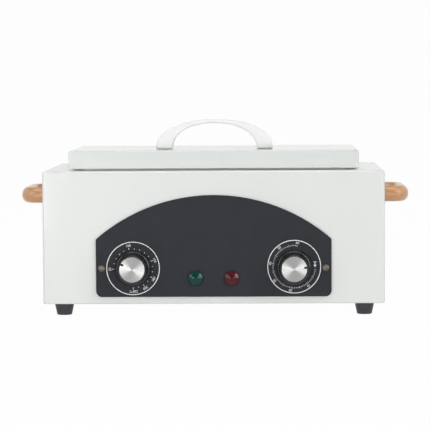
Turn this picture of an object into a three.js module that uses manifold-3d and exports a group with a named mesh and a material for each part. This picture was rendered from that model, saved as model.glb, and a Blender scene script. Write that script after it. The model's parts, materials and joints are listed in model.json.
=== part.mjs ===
// Dry heat sterilizer: a bench-top steel box with a heated chamber under a hinged lid.
// Lengths are in millimetres. X runs to the right, Y to the back and Z up.
// The origin is at the middle of the footprint, on the surface that the feet stand on.
import * as THREE from 'three';
import { RoundedBoxGeometry } from 'three/addons/geometries/RoundedBoxGeometry.js';
import { mergeVertices } from 'three/addons/utils/BufferGeometryUtils.js';
import Module from 'manifold-3d';

const wasm = await Module();
wasm.setup();

// Clearances shared by the whole part
const seatGap = 0.3;
const turnGap = 0.3;
const screwHoleGap = 0.3;
const cutOverrun = 2;
const weldDistance = 0.0001;

// Case
const caseWidth = 340;
const caseDepth = 200;
const caseHeight = 132.3;
const sheet = 1.2;
const caseBend = 2.5;
const caseLip = 6;

// Feet and base plate
const footHeight = 12;
const footTopRadius = 9.9;
const footBottomRadius = 7.4;
const footEdge = 0.8;
const footSideInset = 19.7;
const footEndInset = 18;
const footRecessRadius = 4.6;
const footRecessDepth = 6;
const baseFlange = 9;

// Lid
const lidSideMargin = 25;
const lidFrontMargin = 17;
const lidRearMargin = 25;
const lidHeight = 18;
const lidRaise = 1.7;
const lidBend = 1.8;
const lidLip = 3;
const linerSheet = 1;
const linerDrop = 4.9;
const linerClearance = 3;
const insulationHeadroom = 3.2;
const sealInset = 1;
const sealWidth = 4;

// Chamber
const chamberInset = 12;
const chamberDepth = 55;
const chamberWall = 1;
const chamberFlange = 8;
const chamberCorner = 14;
const chamberHoleGap = 0.8;
const wrapThickness = 8;

// Heating and temperature sensing under the chamber floor
const elementRadius = 4;
const elementSideInset = 17.5;
const elementEndInset = 16;
const elementTurnInset = 12;
const elementTurnFlat = 3;
const elementCutoutGap = 4.5;
const elementTailDrop = 26;
const elementTailBend = 5;
const wrapHoleGap = 1.5;
const bulbRadius = 3;
const bulbLength = 78;
const bulbLead = 12;
const capillaryRadius = 1;
const capillaryBend = 5;
const capillaryInset = 25;
const cutoutRadius = 8;
const cutoutCanShare = 0.8;
const cutoutInset = 40;

// Control panel
const panelWidth = 234;
const panelBottomMargin = 7.2;
const panelSideHeight = 57.4;
const panelHeight = 101.1;
const panelCorner = 6;
const panelShoulder = 2;
const panelThickness = 1.6;
const panelScrewInset = 5.6;
const controlHeight = 28.7;
const knobInset = 37;
const lampSpacing = 36;
const lampDrop = 10.1;

// Knobs and shafts
const knobGap = 0.6;
const skirtRadius = 17.6;
const skirtHeight = 3.6;
const skirtEdge = 1;
const gripBaseRadius = 14.8;
const gripTipRadius = 13.9;
const gripFillet = 1.2;
const knobHeight = 18.5;
const capRadius = 12.5;
const capThickness = 1.6;
const capProud = 0.6;
const capEdge = 0.4;
const notchWidth = 2.4;
const notchDepth = 3;
const shaftRadius = 3;
const shaftFlat = 0.7;
const shaftInKnob = 12;
const shaftInBody = 9;
const bushRadius = 5;
const temperatureNotchDegrees = 154;
const timerNotchDegrees = 8;

// Control gear behind the panel
const bayClearance = 3;
const thermostatWidth = 36;
const thermostatDepth = 26;
const timerWidth = 50;
const timerDepth = 30;
const timerCoverRadius = 18;
const timerCoverDepth = 5;
const gearEdge = 2;
const terminalWidth = 44;
const terminalDepth = 18;
const terminalHeight = 15;
const terminalInset = 45;
const terminalWells = 4;
const terminalWellRadius = 2.6;
const terminalWellDepth = 7;

// Lamps
const lensRadius = 7.6;
const lensRim = 1.2;
const lensDome = 4.2;
const lampBodyRadius = 6;
const lampBodyLength = 24;
const lampCollarRadius = 8.4;
const lampCollarLength = 2.4;

// Lid handle
const lidHandleWidth = 119;
const lidHandleRise = 29.3;
const lidHandleLeg = 16.5;
const lidHandleCrown = 3.4;
const lidHandleDepth = 28;
const lidHandleInset = 42;
const lidHandleEdge = 1.4;
const lidHandleOuterPower = 2.2;
const lidHandleInnerPower = 2.15;

// Side handles
const sideHandleReach = 27.3;
const sideHandleSpan = 90;
const sideHandleInset = 50;
const sideHandleDrop = 26.3;
const sideHandleHalfHeight = 8;
const sideHandleHalfWidth = 6.3;
const sideHandleBend = 12;
const sideScrewBite = 10;

// Screws
const screwRadius = 2;
const screwHeadRadius = 3.7;
const screwHeadHeight = 2.2;
const screwDrive = 1;
const screwDriveWidth = 0.7;
const screwCrownShares = [[0, 1], [0.6, 1], [0.92, 0.7], [1, 0.25]];
const screwBite = 9;
const panelScrewRadius = 1.6;
const panelScrewHeadRadius = 3.15;
const panelScrewHeadHeight = 1.5;
const panelScrewLength = 8;

// Hinges
const hingeInset = 55;
const hingeWidth = 32;
const hingeMiddle = 13;
const hingeEndGap = 0.4;
const knuckleRadius = 3.5;
const hingePinRadius = 1.5;
const hingeHeadRadius = 2.4;
const hingeHeadLength = 1;
const hingeHeadShare = 0.8;
const leafThickness = 1.2;
const caseLeafReach = 14;
const lidLeafReach = 12;

// Mains inlet on the back
const inletSideInset = 70;
const inletHeight = 40;
const inletFlangeWidth = 50;
const inletFlangeHeight = 25;
const inletFlangeThickness = 3;
const inletCorner = 3;
const inletBodyWidth = 28;
const inletBodyHeight = 20.5;
const inletBodyDepth = 20;
const inletSocketWidth = 24.4;
const inletSocketHeight = 16.8;
const inletSocketDepth = 17;
const inletSocketChamfer = 4;
const inletPinSpacing = 14;
const inletPinThickness = 2;
const inletPinHeight = 4;
const inletPinRecess = 1;
const inletPinTail = 7;
const inletEarthRise = 2;
const inletScrewSpacing = 40;

// Vents
const ventWidth = 3;
const ventLength = 22;
const ventPitch = 9;
const ventCount = 5;
const rearVentHeight = 44;
const rearVentOffset = 30;
const baseVentOffset = 70;

// Instrument tray
const trayClearance = 3;
const trayHeight = 18;
const traySheet = 1;
const trayRim = 3;
const trayHoleRadius = 5;
const trayHoleColumns = 8;
const trayHoleRows = 3;
const trayHolePitchX = 28;
const trayHolePitchY = 32;
const trayWireRadius = 1.6;
const trayBowSpan = 62;
const trayBowRise = 12;
const trayBowTuck = 9;
const trayBowBend = 5;

// Smoothness of round shapes, as counts
const fineSides = 28;
const roundSides = 20;
const smallSides = 12;
const screwSides = 10;
const barSides = 12;
const wireSides = 8;
const cornerSteps = 5;
const slotSteps = 2;
const archSteps = 26;
const bendSteps = 5;
const bendSegments = 2;
const domeSteps = 4;

// Levels and places worked out from the sizes above
const caseTop = footHeight + caseHeight;
const caseInnerTop = caseTop - sheet;
const basePlateBottom = footHeight + sheet + seatGap;
const basePlateTop = basePlateBottom + sheet;
const lidWidth = caseWidth - 2 * lidSideMargin;
const lidDepth = caseDepth - lidFrontMargin - lidRearMargin;
const lidCentreY = lidFrontMargin + lidDepth / 2;
const lidBottom = caseTop + lidRaise;
const chamberWidth = lidWidth - 2 * chamberInset;
const chamberLength = lidDepth - 2 * chamberInset;
const flangeBottom = caseTop + seatGap;
const flangeTop = flangeBottom + chamberWall;
const chamberFloor = flangeTop - chamberDepth;
const chamberUnderside = chamberFloor - chamberWall;
const elementLevel = chamberUnderside - seatGap - elementRadius;
const elementReach = chamberWidth / 2 - elementEndInset;
const elementInnerY = cutoutRadius + elementRadius + elementCutoutGap;
const elementOuterY = chamberLength / 2 - elementSideInset;
const capillaryX = elementTurnInset + capillaryInset - elementReach;
const wrapFloorTop = elementLevel - elementRadius - seatGap;
const wrapBottom = wrapFloorTop - wrapThickness;
const wrapWidth = chamberWidth + 2 * (chamberWall + seatGap + wrapThickness);
const wrapLength = chamberLength + 2 * (chamberWall + seatGap + wrapThickness);
const gearBottom = basePlateBottom + baseFlange + bayClearance;
const gearTop = wrapBottom - bayClearance;
const panelBottom = footHeight + panelBottomMargin;
const panelFront = seatGap + panelThickness;
const controlLevel = panelBottom + controlHeight;
const lampLevel = controlLevel - lampDrop;
const knobX = panelWidth / 2 - knobInset;
const panelScrewX = panelWidth / 2 - panelScrewInset;
const knobBack = panelFront + knobGap;
const frontReach = knobBack + knobHeight + capProud;
const rearReach = seatGap + inletFlangeThickness + seatGap + screwHeadHeight;
const caseFrontY = (frontReach - caseDepth - rearReach) / 2;
const gearFrontY = sheet + seatGap;
const sideHandleLevel = caseTop - sideHandleDrop;
const hingeY = lidFrontMargin + lidDepth + seatGap + knuckleRadius;
const hingeZ = caseTop + seatGap + knuckleRadius;
const hingeX = lidWidth / 2 - hingeInset;
const inletX = caseWidth / 2 - inletSideInset;
const linerBottom = sheet + seatGap;
const linerTop = linerBottom + linerSheet;
const trayBottom = chamberFloor + seatGap;
const trayWidth = chamberWidth - 2 * trayClearance;
const trayLength = chamberLength - 2 * trayClearance;

// Materials
function finish(color, roughness, metalness) {
  return () => new THREE.MeshStandardMaterial({ color, roughness, metalness, flatShading: true });
}

const paintedSteel = finish(0xe9ebe8, 0.42, 0);
const whitePlastic = finish(0xf3f4f3, 0.4, 0);
const charcoal = finish(0x373a3d, 0.6, 0);
const blackPlastic = finish(0x16181a, 0.35, 0);
const blackRubber = finish(0x2e3134, 0.8, 0);
const spunAluminium = finish(0xd9dadb, 0.25, 1);
const stainless = finish(0xb9bcbd, 0.3, 1);
const zincSteel = finish(0xa9a79f, 0.4, 1);
const nickelBrass = finish(0xc2b48a, 0.3, 1);
const tanHandle = finish(0xcd9669, 0.45, 0);
const greenLens = finish(0x0b5a4b, 0.15, 0);
const redLens = finish(0x6d1420, 0.15, 0);
const darkSilicone = finish(0x2b2c2e, 0.7, 0);
const mineralWool = finish(0xd8cfae, 0.95, 0);
const sheathSteel = finish(0x6d6a64, 0.5, 1);
const copper = finish(0xb87548, 0.35, 1);
const paleCeramic = finish(0xe6e0d2, 0.6, 0);

// Closed copy of a geometry: shared points merged, flat slivers dropped, faces pointing out
function closedBody(geometry) {
  const bare = geometry.clone();
  bare.deleteAttribute('normal');
  bare.deleteAttribute('uv');
  const merged = mergeVertices(bare, weldDistance);
  const index = [];
  const source = merged.index.array;
  for (let i = 0; i < source.length; i += 3) {
    const [a, b, c] = source.slice(i, i + 3);
    if (a !== b && b !== c && c !== a) index.push(a, b, c);
  }
  merged.setIndex(index);
  const points = merged.attributes.position;
  const [a, b, c] = [new THREE.Vector3(), new THREE.Vector3(), new THREE.Vector3()];
  let volume = 0;
  for (let i = 0; i < index.length; i += 3) {
    a.fromBufferAttribute(points, index[i]);
    b.fromBufferAttribute(points, index[i + 1]);
    c.fromBufferAttribute(points, index[i + 2]);
    volume += a.dot(b.cross(c));
  }
  if (volume < 0) merged.setIndex(index.reverse());
  return merged;
}

function solid(geometry) {
  const body = closedBody(geometry);
  return new wasm.Manifold(new wasm.Mesh({
    numProp: 3,
    vertProperties: new Float32Array(body.attributes.position.array),
    triVerts: new Uint32Array(body.index.array),
  }));
}

function joined(...geometries) {
  return fromSolid(geometries.map(solid).reduce((whole, piece) => whole.add(piece)));
}

function cut(geometry, ...tools) {
  return fromSolid(tools.map(solid).reduce((rest, tool) => rest.subtract(tool), solid(geometry)));
}

function fromSolid(body) {
  const mesh = body.getMesh();
  const geometry = new THREE.BufferGeometry();
  geometry.setAttribute('position', new THREE.BufferAttribute(mesh.vertProperties, mesh.numProp));
  geometry.setIndex(new THREE.BufferAttribute(mesh.triVerts, 1));
  geometry.computeVertexNormals();
  return geometry;
}

// Box given by its middle in X and Y and by its underside in Z
function block(width, depth, height, x = 0, y = 0, z = 0) {
  return new THREE.BoxGeometry(width, depth, height).translate(x, y, z + height / 2);
}

// Rod along Z that starts at z, along Y that starts at y, or along X about its middle
function rodUp(radius, length, sides, x = 0, y = 0, z = 0) {
  const rod = new THREE.CylinderGeometry(radius, radius, length, sides);
  return rod.rotateX(Math.PI / 2).translate(x, y, z + length / 2);
}

function rodBack(radius, length, sides, x = 0, y = 0, z = 0) {
  return new THREE.CylinderGeometry(radius, radius, length, sides).translate(x, y + length / 2, z);
}

function rodAcross(radius, length, sides, x = 0, y = 0, z = 0) {
  return new THREE.CylinderGeometry(radius, radius, length, sides).rotateZ(Math.PI / 2).translate(x, y, z);
}

// Turned piece about Z from pairs of radius and height
function turnedUp(profile, sides) {
  const points = profile.map(([radius, height]) => new THREE.Vector2(radius, height));
  return new THREE.LatheGeometry(points, sides).rotateX(Math.PI / 2);
}

// Turned piece about Y whose profile runs forward, towards -Y
function turnedForward(profile, sides) {
  const points = profile.map(([radius, reach]) => new THREE.Vector2(radius, -reach));
  return new THREE.LatheGeometry(points, sides);
}

// Arc of straight steps, added to an outline
function arc(outline, x, y, radius, from, to, steps) {
  for (let i = 0; i <= steps; i++) {
    const angle = from + (to - from) * i / steps;
    outline.lineTo(x + radius * Math.cos(angle), y + radius * Math.sin(angle));
  }
}

// Rectangle with round corners about a centre, as an outline or as a hole
function roundedRectangle(width, height, corner, x = 0, y = 0, steps = cornerSteps, Outline = THREE.Shape) {
  const [right, top] = [x + width / 2 - corner, y + height / 2 - corner];
  const [left, bottom] = [x - width / 2 + corner, y - height / 2 + corner];
  const quarter = Math.PI / 2;
  const outline = new Outline();
  outline.moveTo(left, bottom - corner);
  arc(outline, right, bottom, corner, -quarter, 0, steps);
  arc(outline, right, top, corner, 0, quarter, steps);
  arc(outline, left, top, corner, quarter, 2 * quarter, steps);
  arc(outline, left, bottom, corner, 2 * quarter, 3 * quarter, steps);
  return outline;
}

// Outline in the X-Y plane raised along Z
function raised(shape, height, z = 0) {
  return new THREE.ExtrudeGeometry(shape, { depth: height, bevelEnabled: false }).translate(0, 0, z);
}

// Upright outline in the X-Z plane, as thick as depth, with its back face at y
const uprightBasis = new THREE.Matrix4().makeBasis(
  new THREE.Vector3(1, 0, 0), new THREE.Vector3(0, 0, 1), new THREE.Vector3(0, -1, 0),
);

function upright(shape, depth, y = 0) {
  const plate = new THREE.ExtrudeGeometry(shape, { depth, bevelEnabled: false });
  return plate.applyMatrix4(uprightBasis).translate(0, y, 0);
}

// Route through corner points, each corner rounded to its bend radius, taken in turn from the list.
// A level or upright route that is given the direction square to it keeps the section's X that way.
class Route extends THREE.Curve {
  constructor(corners, bends, square) {
    super();
    this.square = square;
    this.stops = [corners[0]];
    for (let i = 1; i < corners.length - 1; i++) {
      const bend = bends[(i - 1) % bends.length];
      const into = corners[i].clone().sub(corners[i - 1]).normalize();
      const out = corners[i + 1].clone().sub(corners[i]).normalize();
      const turn = into.angleTo(out);
      const inward = out.clone().sub(into).normalize();
      const centre = corners[i].clone().addScaledVector(inward, bend / Math.cos(turn / 2));
      const axis = into.clone().cross(out).normalize();
      const start = corners[i].clone().addScaledVector(into, -bend * Math.tan(turn / 2)).sub(centre);
      for (let step = 0; step <= bendSteps; step++) {
        this.stops.push(start.clone().applyAxisAngle(axis, turn * step / bendSteps).add(centre));
      }
    }
    this.stops.push(corners[corners.length - 1]);
  }

  getUtoTmapping(u) {
    return u;
  }

  getPoint(t, target = new THREE.Vector3()) {
    const place = t * (this.stops.length - 1);
    const from = Math.min(Math.floor(place), this.stops.length - 2);
    return target.lerpVectors(this.stops[from], this.stops[from + 1], place - from);
  }

  computeFrenetFrames(segments, closed) {
    if (!this.square) return super.computeFrenetFrames(segments, closed);
    const tangents = Array.from({ length: segments + 1 }, (_, i) => this.getTangentAt(i / segments));
    const normals = tangents.map(() => this.square.clone());
    const binormals = tangents.map((tangent) => tangent.clone().cross(this.square));
    return { tangents, normals, binormals };
  }
}

// Rod of an elliptic section swept along a route that lies level or upright
function sweptRod(corners, bends, sectionX, sectionY, sides, square) {
  const section = new THREE.Shape();
  section.absellipse(0, 0, sectionX, sectionY, 0, 2 * Math.PI);
  const route = new Route(corners, bends, square);
  const options = { steps: route.stops.length - 1, extrudePath: route, curveSegments: sides / 2 };
  return new THREE.ExtrudeGeometry(section, options);
}

const point = (x, y, z) => new THREE.Vector3(x, y, z);

// Folded sheet-metal cover: closed top and sides, and a lip turned inwards round its open underside
function foldedCover(width, depth, height, bend, lip) {
  const skin = new RoundedBoxGeometry(width, depth, height + bend, bendSegments, bend);
  skin.translate(0, 0, (height - bend) / 2);
  const trim = block(width + cutOverrun, depth + cutOverrun, bend + cutOverrun, 0, 0, -bend - cutOverrun);
  const hollow = block(width - 2 * sheet, depth - 2 * sheet, height - 2 * sheet, 0, 0, sheet);
  const inset = 2 * (sheet + lip);
  const mouth = block(width - inset, depth - inset, sheet + 2 * cutOverrun, 0, 0, -cutOverrun);
  return cut(skin, trim, hollow, mouth);
}

// Slot with round ends along Z, cut through a wall that faces Y
function wallSlot(x, y, z) {
  const outline = roundedRectangle(ventWidth, ventLength, ventWidth / 2, x, z, slotSteps);
  return upright(outline, sheet + 2 * cutOverrun, y + sheet + cutOverrun);
}

// Slot with round ends along Y, cut through the base plate
function floorSlot(x, y) {
  const outline = roundedRectangle(ventWidth, ventLength, ventWidth / 2, x, y, slotSteps);
  return raised(outline, sheet + 2 * cutOverrun, basePlateBottom - cutOverrun);
}

// Middles of a row of slots about an offset
function ventRow(offset) {
  return Array.from({ length: ventCount }, (_, i) => offset + (i - (ventCount - 1) / 2) * ventPitch);
}

// Pan-head screw whose shank runs along +Y from the underside of its head, with a cross recess
function panScrew(shank, headRadius, headHeight, length) {
  const crown = screwCrownShares.map(([out, up]) => [out * headRadius, up * headHeight]);
  const body = turnedForward(
    [...crown, [headRadius, 0], [shank, 0], [shank, -length], [0, -length]], screwSides,
  );
  const depth = 2 * screwDrive;
  const across = block(headRadius, depth, screwDriveWidth, 0, -headHeight, -screwDriveWidth / 2);
  const along = block(screwDriveWidth, depth, headRadius, 0, -headHeight, -headRadius / 2);
  return cut(body, across, along);
}

// Case shell: folded box, open for the chamber, the controls, the inlet and the screws
function caseShell() {
  const cover = foldedCover(caseWidth, caseDepth, caseHeight, caseBend, caseLip);
  cover.translate(0, caseDepth / 2, footHeight);
  const wallCut = sheet + 2 * cutOverrun;
  const chamberHole = roundedRectangle(
    chamberWidth + 2 * (chamberWall + chamberHoleGap),
    chamberLength + 2 * (chamberWall + chamberHoleGap),
    chamberCorner + chamberWall + chamberHoleGap, 0, lidCentreY,
  );
  const cuts = [raised(chamberHole, wallCut, caseInnerTop - cutOverrun)];
  for (const side of [-1, 1]) {
    const frontHole = (radius, x, z) => rodBack(radius, wallCut, roundSides, side * x, -cutOverrun, z);
    cuts.push(frontHole(bushRadius + seatGap, knobX, controlLevel));
    cuts.push(frontHole(lampBodyRadius + seatGap, lampSpacing / 2, lampLevel));
    cuts.push(frontHole(panelScrewRadius + screwHoleGap, panelScrewX, controlLevel));
    for (const y of sideHandleLegs()) {
      const middle = side * (caseWidth - sheet) / 2;
      cuts.push(rodAcross(screwRadius + screwHoleGap, wallCut, smallSides, middle, y, sideHandleLevel));
    }
    cuts.push(rodBack(
      panelScrewRadius + screwHoleGap, wallCut, smallSides,
      inletX + side * inletScrewSpacing / 2, caseDepth - sheet - cutOverrun, inletHeight,
    ));
  }
  const inletHole = block(
    inletBodyWidth + 2 * seatGap, wallCut, inletBodyHeight + 2 * seatGap,
    inletX, caseDepth - sheet / 2, inletHeight - inletBodyHeight / 2 - seatGap,
  );
  cuts.push(inletHole);
  for (const offset of [-inletX, -rearVentOffset]) {
    for (const x of ventRow(offset)) cuts.push(wallSlot(x, caseDepth - sheet, rearVentHeight));
  }
  return cut(cover, ...cuts);
}

// Base plate: a shallow pan that lies on the case's lip and carries the feet
function basePlate() {
  const width = caseWidth - 2 * (sheet + seatGap);
  const depth = caseDepth - 2 * (sheet + seatGap);
  const pan = block(width, depth, baseFlange, 0, caseDepth / 2, basePlateBottom);
  const hollow = block(width - 2 * sheet, depth - 2 * sheet, baseFlange, 0, caseDepth / 2, basePlateTop);
  const cuts = footPlaces().map(([x, y]) => (
    rodUp(screwRadius + screwHoleGap, sheet + 2 * cutOverrun, smallSides, x, y, basePlateBottom - cutOverrun)
  ));
  for (const offset of [-baseVentOffset, baseVentOffset]) {
    for (const x of ventRow(offset)) cuts.push(floorSlot(x, caseDepth / 2));
  }
  return cut(pan, hollow, ...cuts);
}

function footPlaces() {
  const x = caseWidth / 2 - footSideInset;
  return [
    [-x, footEndInset],
    [x, footEndInset],
    [-x, caseDepth - footEndInset],
    [x, caseDepth - footEndInset],
  ];
}

// Foot: tapered rubber bobbin, recessed from below for its screw
function foot() {
  const top = basePlateBottom - seatGap;
  const hole = screwRadius + screwHoleGap;
  const profile = [
    [footRecessRadius, 0],
    [footBottomRadius - footEdge, 0],
    [footBottomRadius, footEdge],
    [footTopRadius, footHeight],
    [footTopRadius, top],
    [hole, top],
    [hole, footRecessDepth],
    [footRecessRadius, footRecessDepth],
    [footRecessRadius, 0],
  ];
  return turnedUp(profile, smallSides);
}

// Foot screw: head up inside the foot's recess, shank through the base plate
function footScrew() {
  const length = basePlateTop + bayClearance - footRecessDepth;
  return panScrew(screwRadius, screwHeadRadius, screwHeadHeight, length)
    .rotateX(Math.PI / 2)
    .translate(0, 0, footRecessDepth - seatGap);
}

// Chamber tank: deep-drawn pan with round corners and a flange that rests on the case top
function chamberTank() {
  const outer = roundedRectangle(
    chamberWidth + 2 * chamberWall, chamberLength + 2 * chamberWall, chamberCorner + chamberWall,
  );
  const flange = roundedRectangle(
    chamberWidth + 2 * (chamberWall + chamberFlange), chamberLength + 2 * (chamberWall + chamberFlange),
    chamberCorner + chamberWall + chamberFlange,
  );
  const inner = roundedRectangle(chamberWidth, chamberLength, chamberCorner);
  const body = joined(
    raised(outer, flangeTop - chamberUnderside, chamberUnderside),
    raised(flange, chamberWall, flangeBottom),
  );
  return cut(body, raised(inner, chamberDepth + cutOverrun, chamberFloor));
}

// Heating element: one sheathed tube folded back and forth under the chamber floor
function elementCorners() {
  const turnX = elementTurnInset - elementReach;
  const tailEnd = elementLevel - elementTailDrop;
  return [
    point(-elementReach, -elementOuterY, tailEnd),
    point(-elementReach, -elementOuterY, elementLevel),
    point(elementReach, -elementOuterY, elementLevel),
    point(elementReach, -elementInnerY, elementLevel),
    point(turnX, -elementInnerY, elementLevel),
    point(turnX, elementInnerY, elementLevel),
    point(elementReach, elementInnerY, elementLevel),
    point(elementReach, elementOuterY, elementLevel),
    point(-elementReach, elementOuterY, elementLevel),
    point(-elementReach, elementOuterY, tailEnd),
  ];
}

function heatingElement() {
  const sideBend = (elementOuterY - elementInnerY - elementTurnFlat) / 2;
  const middleBend = elementInnerY - elementTurnFlat / 2;
  const turns = [sideBend, sideBend, middleBend, middleBend, sideBend, sideBend];
  const bends = [elementTailBend, ...turns, elementTailBend];
  return sweptRod(elementCorners(), bends, elementRadius, elementRadius, wireSides);
}

// Insulation wrap: a box of mineral wool round the tank, with the element lying in its floor
function insulationWrap() {
  const top = caseInnerTop - seatGap;
  const pocketWidth = chamberWidth + 2 * (chamberWall + seatGap);
  const pocketLength = chamberLength + 2 * (chamberWall + seatGap);
  const box = block(wrapWidth, wrapLength, top - wrapBottom, 0, 0, wrapBottom);
  const pocket = block(pocketWidth, pocketLength, top - wrapFloorTop + cutOverrun, 0, 0, wrapFloorTop);
  const floorCut = wrapThickness + 2 * cutOverrun;
  const tails = [elementCorners()[0], elementCorners()[elementCorners().length - 1]];
  const holes = tails.map(({ x, y }) => (
    rodUp(elementRadius + wrapHoleGap, floorCut, smallSides, x, y, wrapBottom - cutOverrun)
  ));
  const capillaryHole = capillaryRadius + wrapHoleGap;
  holes.push(rodUp(capillaryHole, floorCut, smallSides, capillaryX, 0, wrapBottom - cutOverrun));
  return cut(box, pocket, ...holes);
}

// Thermostat bulb: sealed tube that lies along X, against the chamber floor
const bulbLevel = chamberUnderside - seatGap - bulbRadius;
const bulbStart = capillaryX + bulbLead;

function thermostatBulb() {
  const bulb = new THREE.CapsuleGeometry(bulbRadius, bulbLength - 2 * bulbRadius, domeSteps, smallSides);
  return bulb.rotateZ(Math.PI / 2).translate(bulbStart + bulbLength / 2, 0, bulbLevel);
}

// Capillary from the bulb down through the insulation to the back of the thermostat
function thermostatCapillary() {
  const level = (controlLevel + gearTop) / 2;
  const bodyBack = gearFrontY + thermostatDepth - lidCentreY;
  const corners = [
    point(bulbStart - seatGap, 0, bulbLevel),
    point(capillaryX, 0, bulbLevel),
    point(capillaryX, 0, level),
    point(-knobX, bodyBack + seatGap, level),
  ];
  return sweptRod(corners, [capillaryBend], capillaryRadius, capillaryRadius, wireSides);
}

// Over-temperature cut-out: a round can against the chamber floor
function thermalCutout() {
  const height = 2 * elementRadius;
  const top = chamberUnderside - seatGap;
  const canRadius = cutoutCanShare * cutoutRadius;
  const profile = [
    [0, top - height],
    [canRadius, top - height],
    [canRadius, top - height / 2],
    [cutoutRadius, top - height / 2],
    [cutoutRadius, top],
    [0, top],
  ];
  return turnedUp(profile, smallSides).translate(elementReach - cutoutInset, 0, 0);
}

// Control panel: flat plate with straight sides under an arched top
function panelOutline() {
  const half = panelWidth / 2;
  const rise = panelHeight - panelSideHeight;
  const archRadius = (half * half + rise * rise) / (2 * rise);
  const centreZ = panelBottom + panelHeight - archRadius;
  const shoulderX = half - panelShoulder;
  const shoulderZ = centreZ + Math.sqrt(archRadius * archRadius - shoulderX * shoulderX);
  const shoulder = Math.atan2(shoulderZ - centreZ, shoulderX);
  const sideTop = panelBottom + panelSideHeight;
  const outline = new THREE.Shape();
  const cornerX = half - panelCorner;
  const cornerZ = panelBottom + panelCorner;
  outline.moveTo(-cornerX, panelBottom);
  arc(outline, cornerX, cornerZ, panelCorner, -Math.PI / 2, 0, cornerSteps);
  outline.lineTo(half, sideTop - panelShoulder);
  arc(outline, 0, centreZ, archRadius, shoulder, Math.PI - shoulder, archSteps);
  outline.lineTo(-half, sideTop - panelShoulder);
  arc(outline, -cornerX, cornerZ, panelCorner, Math.PI, 3 * Math.PI / 2, cornerSteps);
  return outline;
}

function controlPanel() {
  const plate = upright(panelOutline(), panelThickness, -seatGap);
  const depth = panelThickness + 2 * cutOverrun;
  const front = -panelFront - cutOverrun;
  const cuts = [];
  for (const side of [-1, 1]) {
    const hole = (radius, x, z) => rodBack(radius, depth, roundSides, side * x, front, z);
    cuts.push(hole(shaftRadius + turnGap, knobX, controlLevel));
    cuts.push(hole(lampBodyRadius + seatGap, lampSpacing / 2, lampLevel));
    cuts.push(hole(panelScrewRadius + screwHoleGap, panelScrewX, controlLevel));
  }
  return cut(plate, ...cuts);
}

// Knob: skirt, tapered grip, blind bore for the shaft and a shallow seat for the cap
function knob() {
  const seatRadius = capRadius + seatGap;
  const seatDepth = capThickness - capProud + seatGap;
  const bore = shaftRadius + seatGap;
  const profile = [
    [bore, 0],
    [skirtRadius - skirtEdge, 0],
    [skirtRadius, skirtEdge],
    [skirtRadius, skirtHeight - skirtEdge],
    [skirtRadius - skirtEdge, skirtHeight],
    [gripBaseRadius + gripFillet, skirtHeight],
    [gripBaseRadius, skirtHeight + gripFillet],
    [gripTipRadius, knobHeight - skirtEdge / 2],
    [gripTipRadius - skirtEdge / 2, knobHeight],
    [seatRadius, knobHeight],
    [seatRadius, knobHeight - seatDepth],
    [0, knobHeight - seatDepth],
    [0, shaftInKnob + seatGap],
    [bore, shaftInKnob + seatGap],
    [bore, 0],
  ];
  return turnedForward(profile, fineSides);
}

// Knob cap: spun disc with a pointer notch in its rim
function knobCap(notchDegrees) {
  const back = knobHeight + capProud - capThickness;
  const profile = [
    [0, back],
    [capRadius, back],
    [capRadius, back + capThickness - capEdge],
    [capRadius - capEdge, back + capThickness],
    [0, back + capThickness],
  ];
  const length = notchDepth + cutOverrun;
  const slot = block(length, capThickness + 2 * cutOverrun, notchWidth, 0, 0, -notchWidth / 2);
  slot.translate(capRadius - notchDepth + length / 2, -back - capThickness / 2, 0);
  slot.rotateY(-THREE.MathUtils.degToRad(notchDegrees));
  return cut(turnedForward(profile, fineSides), slot);
}

// Shaft from inside the control body to inside the knob, with a flat along its upper side
function knobShaft() {
  const backEnd = knobBack + gearFrontY + shaftInBody;
  const length = backEnd + shaftInKnob;
  const rod = rodBack(shaftRadius, length, smallSides, 0, -shaftInKnob, 0);
  const flat = block(2 * shaftRadius, shaftInKnob + cutOverrun, shaftFlat + cutOverrun);
  flat.translate(0, -(shaftInKnob + cutOverrun) / 2, shaftRadius - shaftFlat);
  return cut(rod, flat);
}

// Box of a control body with its bush through the case wall and a blind hole for the shaft
function controlBody(width, depth, x) {
  const height = gearTop - gearBottom;
  const box = roundedRectangle(width, height, gearEdge, x, (gearTop + gearBottom) / 2, slotSteps);
  const body = upright(box, depth, gearFrontY + depth);
  const bush = rodBack(bushRadius, gearFrontY + gearEdge, roundSides, x, 0, controlLevel);
  const hole = rodBack(
    shaftRadius + turnGap, gearFrontY + shaftInBody + turnGap + cutOverrun, roundSides,
    x, -cutOverrun, controlLevel,
  );
  return cut(joined(body, bush), hole);
}

function timerBody() {
  const cover = rodBack(
    timerCoverRadius, timerCoverDepth + gearEdge, roundSides,
    knobX, gearFrontY + timerDepth - gearEdge, (gearTop + gearBottom) / 2,
  );
  return joined(controlBody(timerWidth, timerDepth, knobX), cover);
}

// Lamp: domed lens in front of the panel, and a body clipped through panel and case wall
function lampLens() {
  const profile = [[0, 0], [lensRadius, 0], [lensRadius, lensRim]];
  for (let i = 1; i <= domeSteps; i++) {
    const angle = i * Math.PI / 2 / domeSteps;
    const radius = i === domeSteps ? 0 : lensRadius * Math.cos(angle);
    profile.push([radius, lensRim + (lensDome - lensRim) * Math.sin(angle)]);
  }
  return turnedForward(profile, roundSides);
}

function lampBody() {
  const front = panelFront;
  const collar = -gearFrontY;
  const profile = [
    [0, front],
    [lampBodyRadius, front],
    [lampBodyRadius, collar],
    [lampCollarRadius, collar],
    [lampCollarRadius, collar - lampCollarLength],
    [lampBodyRadius, collar - lampCollarLength],
    [lampBodyRadius, front - lampBodyLength],
    [0, front - lampBodyLength],
  ];
  return turnedForward(profile, smallSides);
}

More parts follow.
